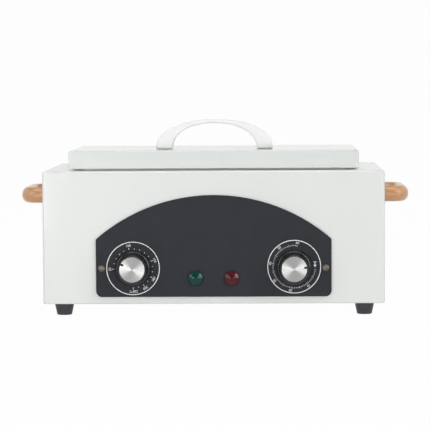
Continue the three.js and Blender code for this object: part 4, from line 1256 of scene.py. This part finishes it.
@dataclass
class MainsInlet(SubAssembly):
    """Appliance inlet on the back: flanged black socket with three blades."""

    x: float = LAYOUT.inlet_x
    z: float = LAYOUT.inlet_z
    seat: float = 108.2
    back: float = 111.2
    flange: Point3 = (25.0, 12.5, 3.0)
    flange_edge: float = 0.7
    body_half: Point2 = (14.0, 10.25)
    body_front: float = 87.9
    body_overlap: float = 1.0
    socket_half: Point2 = (12.2, 8.4)
    socket_chamfer: float = 4.0
    socket_corner: float = 0.8
    socket_depth: float = 17.0
    blades: tuple[tuple[str, Point2], ...] = (
        ("line", (-7.0, -1.0)), ("neutral", (7.0, -1.0)), ("earth", (0.0, 2.0)))
    blade_half: Point2 = (1.0, 2.0)
    blade_reach: Point2 = (80.9, 110.2)
    blade_gap: float = 0.3
    blade_edge: float = 0.45
    screw_x: float = LAYOUT.inlet_screw_x
    screw_hole: float = 1.9

    def socket_cutter(self) -> Piece:
        """Make the cutter of the socket, with its two upper corners cut and all corners eased.

        Returns:
            The cutter.
        """
        half_x, half_z = self.socket_half
        chamfer = self.socket_chamfer
        right = [(half_x, -half_z), (half_x, half_z - chamfer), (half_x - chamfer, half_z)]
        corners = right + [(-x, z) for x, z in reversed(right)]
        outline = eased([(self.x + x, self.z + z, self.socket_corner) for x, z in corners], steps=4)
        push = spot(0, -self.socket_depth - OVERRUN, 0)
        return slab("socket", upright(outline, self.back + OVERRUN), push)

    def box(self, name: str, middle: Point2, half: Sequence[float], reach: Point2) -> Piece:
        """Add a box that runs from front to back at a place on the flange."""
        x, z = self.x + middle[0], self.z + middle[1]
        return block(name, (x - half[0], reach[0], z - half[1]), (x + half[0], reach[1], z + half[1]))

    def build_housing(self) -> Piece:
        """Mould the housing with its socket, screw holes and blade slots.

        Returns:
            The housing.
        """
        half_x, half_z, corner = self.flange
        outline = rounded_box(half_x, half_z, corner, (self.x, self.z))
        housing = slab("inlet_housing", upright(outline, self.back), spot(0, self.seat - self.back, 0))
        soften(housing, self.flange_edge, segments=4)
        reach = (self.body_front, self.seat + self.body_overlap)
        cut(housing, [self.box("body", (0.0, 0.0), self.body_half, reach)], "UNION")
        holes = [
            drum("hole", self.screw_hole, (-2 * OVERRUN, OVERRUN), Axis.BACKWARD,
                 (self.x + side * self.screw_x, self.back, self.z))
            for _, side in SIDES]
        cut(housing, [self.socket_cutter(), *holes])
        half = [size + self.blade_gap for size in self.blade_half]
        reach = (self.body_front - OVERRUN, self.back - self.socket_depth + OVERRUN)
        cut(housing, [self.box("slot", place, half, reach) for _, place in self.blades])
        return housing

    def build(self) -> None:
        """Mould the black housing and cut the nickel blades."""
        present(self.build_housing(), BLACK_MOULDING, Body.HOUSING, "mains_inlet")
        for name, place in self.blades:
            blade = self.box(f"{name}_blade", place, self.blade_half, self.blade_reach)
            soften(blade, self.blade_edge, segments=2)
            present(blade, NICKEL_BRASS, Body.HOUSING, f"inlet_pin_{name}")


@dataclass
class Hinge(SubAssembly):
    """Steel hinge: two leaves curled round a headed pin, each held by two rivets."""

    side: str
    x: float
    axis_place: Point2 = (86.7, 148.1)
    width: float = 32.0
    middle: float = 13.0
    end_gap: float = 0.4
    knuckle: float = 3.5
    knuckle_steps: int = 36
    turn_gap: float = 0.3
    pin: float = 1.5
    pin_head: Point2 = (2.4, 1.0)
    head_gap: float = 0.3
    pin_shares: tuple[Point2, ...] = ((0.0, 1.0), (0.5, 1.0), (0.85, 0.75), (1.0, 0.3), (1.0, 0.0))
    leaf: float = 1.2
    case_reach: float = 14.0
    lid_reach: float = 12.0
    corner: float = 2.5
    rivet: Point2 = (2.1, 0.7)
    rivet_foot: Point2 = (-0.15, 0.12)
    rivet_shares: tuple[Point2, ...] = ((0.9, 0.55), (0.6, 0.9), (0.0, 1.0))
    rivet_x: float = 9.5
    rivet_share: float = 0.66

    def keyhole(self, reach: float) -> list[Point2]:
        """Side outline of a leaf: a plate that runs into its curl.

        Args:
            reach: how far the plate runs from the pin.

        Returns:
            Points along the plate and square to it, from the pin.
        """
        low, high = -self.knuckle, self.leaf - self.knuckle
        first = -math.pi / 2
        last = math.asin(high / self.knuckle) - 2 * math.pi
        points = [(reach, high), (reach, low)]
        for i in range(self.knuckle_steps + 1):
            angle = first + (last - first) * i / self.knuckle_steps
            points.append((self.knuckle * math.cos(angle), self.knuckle * math.sin(angle)))
        return points

    def clear(self, start: float, end: float, radius: float) -> Piece:
        """Make a cutter round the pin between two distances along it."""
        return drum("clear", radius, (start, end), Axis.ACROSS, (self.x, *self.axis_place), steps=48)

    def build_leaf(self, name: str, reach: float, stands: bool) -> Piece:
        """Curl one leaf and give it its corners, clearances, bore and rivets.

        Args:
            name: the leaf's name.
            reach: how far its plate runs.
            stands: whether the plate stands up and keeps the middle knuckle.

        Returns:
            The leaf.
        """
        y, z = self.axis_place
        outline = [
            spot(self.x - self.width / 2, y + (v if stands else u), z + (u if stands else v))
            for u, v in self.keyhole(reach)]
        leaf = slab(name, outline, spot(self.width, 0, 0))
        end = ((z if stands else y) + reach - HAIR) * MM
        pick(leaf, "EDGE", lambda a, b: abs(a.x - b.x) < HAIR * MM and (
            min(a.z, b.z) > end if stands else min(a.y, b.y) > end))
        bend_edges(self.corner, segments=6)
        knuckle = self.knuckle + self.turn_gap
        inner, outer = (self.middle - self.end_gap) / 2, self.width / 2 + OVERRUN
        if stands:
            cut(leaf, [self.clear(-outer, -inner, knuckle), self.clear(inner, outer, knuckle)])
        else:
            half = inner + self.end_gap
            cut(leaf, [self.clear(-half, half, knuckle)])
        cut(leaf, [self.clear(-outer, outer, self.pin + self.turn_gap)])
        return join(name, [leaf, *self.build_rivets(stands, reach)])

    def build_rivets(self, stands: bool, reach: float) -> list[Piece]:
        """Turn the two rivet heads of a leaf.

        Args:
            stands: whether the leaf's plate stands up.
            reach: how far its plate runs.

        Returns:
            The two heads.
        """
        y, z = self.axis_place
        radius, height = self.rivet
        low, high = self.rivet_foot
        profile = [(0, low), (radius, low), (radius, high)]
        profile += [(radius * out, height * up) for out, up in self.rivet_shares]
        face, along = self.leaf - self.knuckle, reach * self.rivet_share
        axis = Axis.BACKWARD if stands else Axis.UP
        place = (y + face, z + along) if stands else (y + along, z + face)
        return [
            turned("rivet", profile, axis, (self.x + side * self.rivet_x, *place), steps=32)
            for _, side in SIDES]

    def build(self) -> None:
        """Make the two brushed leaves and the plated pin."""
        case_leaf = self.build_leaf(f"{self.side}_case_leaf", self.case_reach, False)
        lid_leaf = self.build_leaf(f"{self.side}_lid_leaf", self.lid_reach, True)
        head, thick = self.pin_head
        half = self.width / 2 + self.head_gap
        end = [(head * out, half + thick * up) for out, up in self.pin_shares] + [(self.pin, half)]
        profile = [(radius, -reach) for radius, reach in end] + end[::-1]
        rod = turned(f"{self.side}_hinge_rod", profile, Axis.ACROSS, (self.x, *self.axis_place), steps=40)
        present(case_leaf, STAINLESS, Body.HOUSING, f"hinge_case_leaf_{self.side}")
        present(lid_leaf, STAINLESS, Body.LID, f"hinge_lid_leaf_{self.side}")
        present(rod, ZINC, Body.HOUSING, f"hinge_pin_{self.side}")


@dataclass
class SideHandle(SubAssembly):
    """Tan bow on each end of the case, with a fine groove near each foot."""

    wall: float = 170.3
    bar_x: float = 191.0
    legs: Point2 = (-35.8, 41.6)
    level: float = 118.0
    half: Point2 = (8.0, 6.3)
    bend: float = 12.0
    groove_at: float = 2.0
    groove_slope: float = 0.15
    groove_width: float = 0.35
    groove_share: float = 0.96
    smooth_degrees: float = 50.0

    def build(self) -> None:
        """Bend the right bow in tan and mirror it."""
        front, rear = self.legs
        groove = (
            (self.groove_slope, self.groove_share), (self.groove_width, 1.0),
            (self.groove_slope, 1 / self.groove_share))
        turn_x = self.bar_x - self.bend
        rest = turn_x - self.wall - self.groove_at - 2 * self.groove_slope - self.groove_width
        route = [
            Run((self.groove_at, 0, 0)), *(Run((step, 0, 0), scale) for step, scale in groove),
            Run((rest, 0, 0)),
            Bend((turn_x, front + self.bend, self.level), (0, 0, 1), 90.0),
            Run((0, rear - front - 2 * self.bend, 0)),
            Bend((turn_x, rear - self.bend, self.level), (0, 0, 1), 90.0),
            Run((-rest, 0, 0)),
            *(Run((-step, 0, 0), scale) for step, scale in groove), Run((-self.groove_at, 0, 0))]
        right = bar("right_bow", (self.wall, front, self.level), Axis.ACROSS, self.half, route, sides=40)
        left = twin(right, "left_bow", mirror=True)
        for (side, _), bow in zip(SIDES, (left, right)):
            present(
                bow, TAN, Body.HOUSING, f"side_handle_{side}", angle=math.radians(self.smooth_degrees))


@dataclass
class LidHandle(SubAssembly):
    """White crescent bow on the lid, thick at its feet and thin at its crown."""

    half_width: float = 59.5
    rise: float = 29.3
    leg: float = 16.5
    crown: float = 3.4
    depth: Point2 = (-33.1, -5.1)
    foot: float = 164.3
    powers: Point2 = (2.2, 2.15)
    steps: int = 60
    edge: float = 1.6

    def arch(self, half: float, rise: float, power: float) -> list[Point2]:
        """Follow half a superellipse from right to left.

        Args:
            half: its half width.
            rise: its height.
            power: how square it is, 2 for an ellipse.

        Returns:
            Its points.
        """
        points = []
        for i in range(self.steps + 1):
            angle = math.pi * i / self.steps
            across = math.cos(angle)
            x = math.copysign(half * abs(across) ** (2 / power), across)
            points.append((x, self.foot + rise * abs(math.sin(angle)) ** (2 / power)))
        return points

    def build(self) -> None:
        """Cut the white bow from its outline and round its edges."""
        outer = self.arch(self.half_width, self.rise, self.powers[0])
        inner = self.arch(self.half_width - self.leg, self.rise - self.crown, self.powers[1])
        front, rear = self.depth
        bow = slab("lid_bow", upright([*outer, *reversed(inner)], rear), spot(0, front - rear, 0))
        soften(bow, self.edge, segments=5)
        present(bow, HANDLE_WHITE, Body.LID, "lid_handle")


@dataclass
class Lid(SubAssembly):
    """Lid: painted cover, pressed liner and seal."""

    low: Point3 = (-145.0, -75.1, 146.0)
    high: Point3 = (145.0, 82.9, 164.0)
    bend: float = 1.8
    lip: float = 3.0
    fold: float = 0.5
    liner_half: Point2 = (143.5, 77.5)
    liner_level: float = 147.5
    liner_wall: float = 1.0
    panel_inset: float = 13.5
    panel_drop: float = 4.9
    panel_corner: float = 11.0
    panel_bend: float = 1.8
    seal_half: Point2 = (139.0, 73.0)
    seal_corner: float = 20.0
    seal_width: float = 4.0
    seal_levels: Point2 = (145.9, 147.2)
    seal_edge: float = 0.45

    def build_liner(self) -> Piece:
        """Press the liner: a plate with a panel that drops into the chamber's mouth.

        Returns:
            The liner with its wall.
        """
        corners = rounded_box(*self.liner_half, 0.0, (0.0, LAYOUT.middle_y))
        liner = sheet_face("liner_pressing", level(reversed(corners), self.liner_level))
        bpy.ops.mesh.inset(thickness=self.panel_inset * MM, use_even_offset=True)
        extrude(spot(0, 0, -self.panel_drop))
        pick(liner, "EDGE", lambda a, b: abs(a.z - b.z) > self.panel_drop / 2 * MM)
        bend_edges(self.panel_corner, segments=8)
        soften(liner, self.panel_bend, segments=4)
        wall(liner, self.liner_wall, 1.0)
        return liner

    def build_seal(self) -> Piece:
        """Mould the seal as a round-edged ring.

        Returns:
            The seal.
        """
        low, high = self.seal_levels
        outline = rounded_box(*self.seal_half, self.seal_corner, (0.0, LAYOUT.middle_y))
        ring = sheet_face("seal_ring", level(outline, low))
        bpy.ops.mesh.inset(thickness=self.seal_width * MM, use_even_offset=True)
        bpy.ops.mesh.delete(type="FACE")
        bpy.ops.mesh.select_all(action="SELECT")
        extrude(spot(0, 0, high - low))
        close_up()
        soften(ring, self.seal_edge)
        return ring

    def build(self) -> None:
        """Build the coated cover, the brushed liner and the dark seal."""
        cover = Cover("lid_cover", self.low, self.high, self.bend, self.lip, self.fold).build()
        liner, seal = self.build_liner(), self.build_seal()
        present(cover, LID_COAT_PAINTED_SHADE, Body.LID, "lid_shell")
        present(liner, STAINLESS, Body.LID, "lid_liner")
        present(seal, SILICONE_AND_GAP_SHADE, Body.LID, "lid_seal")


@dataclass(frozen=True)
class Pan:
    """Pressed pan: a flange or rim round straight walls and a rounded floor."""

    name: str
    rim_half: Point2
    rim_corner: float
    rim_width: float
    rim_level: float
    floor_level: float
    floor_bend: float
    mouth_bend: float
    sheet: float = 1.0

    def build(self) -> Piece:
        """Press the pan from a flat face.

        Returns:
            The pan with its wall below its faces.
        """
        outline = rounded_box(*self.rim_half, self.rim_corner, (0.0, LAYOUT.middle_y), steps=10)
        pan = sheet_face(self.name, level(outline, self.rim_level))
        bpy.ops.mesh.inset(thickness=self.rim_width * MM, use_even_offset=True)
        extrude(spot(0, 0, self.floor_level - self.rim_level))
        bend_edges(self.floor_bend, segments=6)
        rim = (self.rim_level - HAIR) * MM
        corner = (self.rim_corner - self.rim_width / 2) * MM
        straight_x, straight_y = ((half - self.rim_corner) * MM for half in self.rim_half)

        def inside(v: Vector) -> bool:
            """Whether a point of the rim lies on its inner edge."""
            x, y = abs(v.x) - straight_x, abs(v.y - LAYOUT.middle_y * MM) - straight_y
            return v.z > rim and math.hypot(max(x, 0.0), max(y, 0.0)) < corner

        pick(pan, "EDGE", lambda a, b: inside(a) and inside(b))
        bend_edges(self.mouth_bend, segments=4)
        wall(pan, self.sheet, 1.0)
        return pan


@dataclass
class Chamber(SubAssembly):
    """Deep-drawn tank of the heated chamber."""

    pan: Pan = Pan("tank_pressing", (142.0, 76.0), 23.0, 9.0, 145.6, 90.6, 6.0, 1.2)

    def build(self) -> None:
        """Draw and brush the tank."""
        present(self.pan.build(), DRAWN_STEEL_PAINTED_LIGHT, Body.HOUSING, "chamber_tank")


@dataclass
class Tray(SubAssembly):
    """Perforated instrument tray with a wire bow at each end."""

    pan: Pan = Pan("tray_pan", (130.0, 64.0), 11.0, 4.0, 108.9, 91.9, 3.0, 0.8)
    hole_radius: float = 5.0
    columns: int = 8
    rows: int = 3
    pitch: Point2 = (28.0, 32.0)
    bow_x: float = 124.1
    bow_half: float = 29.4
    bow_levels: Point2 = (99.9, 119.3)
    wire: float = 1.6
    wire_edge: float = 0.4
    bend: float = 5.0

    def build_bow(self) -> Piece:
        """Bend the right bow of round wire.

        Returns:
            The bow.
        """
        low, high = self.bow_levels
        front, rear = LAYOUT.middle_y - self.bow_half, LAYOUT.middle_y + self.bow_half
        leg = high - low - self.bend
        route = [
            Run((0, 0, leg)), Bend((self.bow_x, front + self.bend, high - self.bend), (1, 0, 0), -90.0),
            Run((0, rear - front - 2 * self.bend, 0)),
            Bend((self.bow_x, rear - self.bend, high - self.bend), (1, 0, 0), -90.0), Run((0, 0, -leg))]
        start = (self.bow_x, front, low)
        bow = bar("right_wire_bow", start, Axis.UP, (self.wire, self.wire), route, sides=20)
        soften(bow, self.wire_edge, segments=2, angle=70.0)
        return bow

    def build(self) -> None:
        """Press, perforate and brush the pan, and bend the bows."""
        tray = self.pan.build()
        holes = []
        for column in range(self.columns):
            for row in range(self.rows):
                x = (column - (self.columns - 1) / 2) * self.pitch[0]
                y = LAYOUT.middle_y + (row - (self.rows - 1) / 2) * self.pitch[1]
                place = (x, y, self.pan.floor_level)
                holes.append(drum("hole", self.hole_radius, THROUGH, Axis.UP, place, steps=28))
        cut(tray, holes)
        right = self.build_bow()
        left = twin(right, "left_wire_bow", mirror=True)
        present(tray, STAINLESS, Body.TRAY, "instrument_tray")
        present(left, STAINLESS, Body.TRAY, "tray_handle_left")
        present(right, STAINLESS, Body.TRAY, "tray_handle_right")


class InnerWorks(SubAssembly):
    """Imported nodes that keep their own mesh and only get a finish."""

    def build(self) -> None:
        """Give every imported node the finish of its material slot."""
        parts = frame["record"]["subparts"]
        for part in parts:
            for slot in frame["nodes"][part["node"]].material_slots:
                slot.material = SLOT_FINISHES[part["material_slot"]].material()
        log.info("finished %d packed nodes", len(parts))


@dataclass
class Studio:
    """Camera, floor, world and lamps, in metres; the camera stands where the photograph was taken from."""

    camera_place: Point3 = (0.05605, -2.3033, 0.24062)
    yaw: float = -0.02459
    pitch: float = 0.06329
    roll: float = -0.0057
    focal: float = 2234.45
    image: float = 430.0
    sensor: float = 36.0
    sight: float = 50.0
    target: Point3 = (0.0, 0.0, 0.08)
    floor_size: float = 40.0
    floor_level: float = -0.0005
    floor_shade: float = 0.8
    backdrop_height: float = 20.0
    backdrop_bend: float = 7.1
    slack: float = 0.01
    shown_share: float = 0.98
    room: float = 0.27
    lamps: tuple[tuple[str, Point3, Point2, float], ...] = (
        ("low_left", (-0.45, -1.1, 0.07), (0.35, 0.12), 1.85),
        ("low_right", (0.45, -1.1, 0.07), (0.35, 0.12), 1.35),
        ("side_left", (-1.0, -0.8, 0.4), (0.45, 0.6), 2.2),
        ("side_right", (3.2, -1.84, 0.85), (0.5, 1.5), 17.0),
        ("high_right", (2.55, -1.88, 2.03), (0.5, 1.5), 19.0),
        ("top_front", (0.0, -0.75, 1.7), (1.6, 0.12), 4.6),
        ("top", (0.0, -0.3, 1.7), (1.8, 1.0), 7.4))

    def stand(self, data: bpy.types.Camera | bpy.types.Light, matrix: Matrix) -> bpy.types.Object:
        """Put a camera or a lamp into the scene.

        Args:
            data: the camera or lamp.
            matrix: where it stands and how it is turned.

        Returns:
            Its object.
        """
        stood = bpy.data.objects.new(data.name, data)
        bpy.context.scene.collection.objects.link(stood)
        stood.matrix_world = matrix
        return stood

    def build_camera(self) -> None:
        """Stand the camera in the photograph's place, with its lens."""
        data = bpy.data.cameras.new("camera")
        data.sensor_width = self.sensor
        data.lens = self.focal / self.image * self.sensor
        data.clip_end = self.sight
        matrix = Matrix.Translation(self.camera_place)
        for angle, axis in ((-self.yaw, "Z"), (math.pi / 2 - self.pitch, "X"), (self.roll, "Z")):
            matrix = matrix @ Matrix.Rotation(angle, 4, axis)
        bpy.context.scene.camera = self.stand(data, matrix)

    def build_world(self) -> None:
        """Light the room softly and evenly."""
        world = bpy.data.worlds.new("studio")
        bpy.context.scene.world = world
        sheet = NodeSheet(world)
        soft = sheet.add("Background", {"Color": (1.0, 1.0, 1.0, 1.0), "Strength": self.room})
        sheet.add("OutputWorld", {"Surface": soft.outputs[0]})

    def floor_material(self) -> bpy.types.Material:
        """Mix a pale floor that looks almost white and keeps a soft trace of shadow.

        Returns:
            The material.
        """
        material = bpy.data.materials.new("pale_floor")
        sheet = NodeSheet(material)
        path = sheet.add("LightPath")
        seen = path.outputs["Is Camera Ray"]
        for name in ("Is Glossy Ray", "Is Transmission Ray"):
            seen = sheet.add("Math", {0: seen, 1: path.outputs[name]}, operation="MAXIMUM").outputs[0]
        share = sheet.add("Math", {0: seen, 1: self.shown_share}, operation="MULTIPLY").outputs[0]
        plain = sheet.add("BsdfDiffuse", {"Color": (*[self.floor_shade] * 3, 1.0)}).outputs[0]
        mixer = sheet.add("MixShader", {0: share, 1: plain, 2: sheet.add("Emission").outputs[0]})
        sheet.add("OutputMaterial", {"Surface": mixer.outputs[0]})
        return material

    def build_backdrop(self) -> None:
        """Lay a pale floor that curves up behind and beside the object."""
        deselect()
        bpy.ops.mesh.primitive_plane_add(size=self.floor_size, location=(0, 0, self.floor_level))
        floor = adopt("floor")
        rim = self.floor_size / 2 - self.slack

        def walls(a: Vector, b: Vector) -> int:
            """How many of the walls, at the rear and at the sides, an edge lies on."""
            return (min(a.y, b.y) > rim) + (abs(a.x + b.x) > rim * 2)

        pick(floor, "EDGE", lambda a, b: walls(a, b) > 0)
        extrude((0, 0, self.backdrop_height))
        pick(floor, "EDGE", lambda a, b: walls(a, b) > (max(a.z, b.z) > self.slack))
        bend_edges(self.backdrop_bend / MM, segments=24)
        bpy.ops.object.shade_smooth()
        floor.data.materials.append(self.floor_material())

    def add_lamp(self, name: str, place: Point3, size: Point2, power: float) -> None:
        """Hang a soft lamp that looks at the object.

        Args:
            name: the lamp's name.
            place: where it hangs, in metres.
            size: its width and height in metres.
            power: its power in watts.
        """
        data = bpy.data.lights.new(name, "AREA")
        data.shape = "RECTANGLE"
        data.size, data.size_y = size
        data.energy = power
        way = Vector(self.target) - Vector(place)
        self.stand(data, Matrix.Translation(place) @ way.to_track_quat("-Z", "Y").to_matrix().to_4x4())

    def build(self) -> None:
        """Set up the whole studio."""
        self.build_camera()
        self.build_world()
        self.build_backdrop()
        for lamp in self.lamps:
            self.add_lamp(*lamp)


def build_parts() -> list[SubAssembly]:
    """List the sterilizer's sub-assemblies in the order in which they are put together.

    Returns:
        The sub-assemblies.
    """
    temperature_ticks = (
        (182.0, -16.0, 18, 18.9, 19.9, 0.6), (182.0, -80.0, 3, 18.7, 20.9, 0.75),
        (-26.0, -32.0, 3, 18.7, 20.9, 0.75))
    temperature_labels = (
        ("50", 182.0), ("100", 102.0), ("150", 21.0), ("180", -27.0), ("200", -58.0), ("220°C", -89.0))
    timer_ticks = ((-8.0, -4.5, 61, 20.4, 21.6, 0.4), (-8.0, -22.5, 13, 20.0, 22.0, 0.55))
    timer_labels = (
        ("10", -53.0), ("20", -99.0), ("30", -144.0), ("40", 172.0), ("50", 128.0), ("60", 82.0))
    timer_arrow = (
        ((19.0, 1.9), (22.2, 1.9), (20.6, -0.7)),
        ((20.25, 1.8), (20.95, 1.8), (20.95, 4.4), (20.25, 4.4)),
        ((19.1, 4.4), (22.1, 4.4), (22.1, 5.1), (19.1, 5.1)))
    return [
        InnerWorks(),
        Case(),
        Feet(),
        ControlPanel(),
        DialFace("temperature", -LAYOUT.dial_x, 47.7, temperature_ticks, temperature_labels, 22.9),
        DialFace("timer", LAYOUT.dial_x, 48.9, timer_ticks, timer_labels, 23.8, arrow=timer_arrow),
        Knob("temperature", Body.TEMPERATURE, -LAYOUT.dial_x, 154.0),
        Knob("timer", Body.TIMER, LAYOUT.dial_x, 8.0),
        SignalLamp("green", -LAYOUT.lamp_x, GREEN_LENS),
        SignalLamp("red", LAYOUT.lamp_x, RED_LENS),
        ScrewPair(
            "panel_screw", "{}_pan_screw", (0.0, -94.3, LAYOUT.dial_z), LAYOUT.panel_screw_x,
            Axis.FORWARD, (1.6, 9.9), (3.15, 1.5), (38.0, 12.0), NICKEL_BRASS),
        MainsInlet(),
        ScrewPair(
            "inlet_screw", "inlet_{}_fixing", (LAYOUT.inlet_x, 111.5, LAYOUT.inlet_z),
            LAYOUT.inlet_screw_x, Axis.BACKWARD, (1.6, 11.6), (3.15, 2.2), (-5.0, 35.0), ZINC),
        SideHandle(),
        Hinge("left", -90.0),
        Hinge("right", 90.0),
        Lid(),
        LidHandle(),
        Chamber(),
        Tray(),
    ]


def main() -> None:
    """Build the studio and each sub-assembly, and set the view transform to Standard."""
    Studio().build()
    for part in build_parts():
        part.build()
        log.info("%s is done", type(part).__name__)
    bpy.context.scene.view_settings.view_transform = "Standard"


if __name__ == "__main__":
    main()
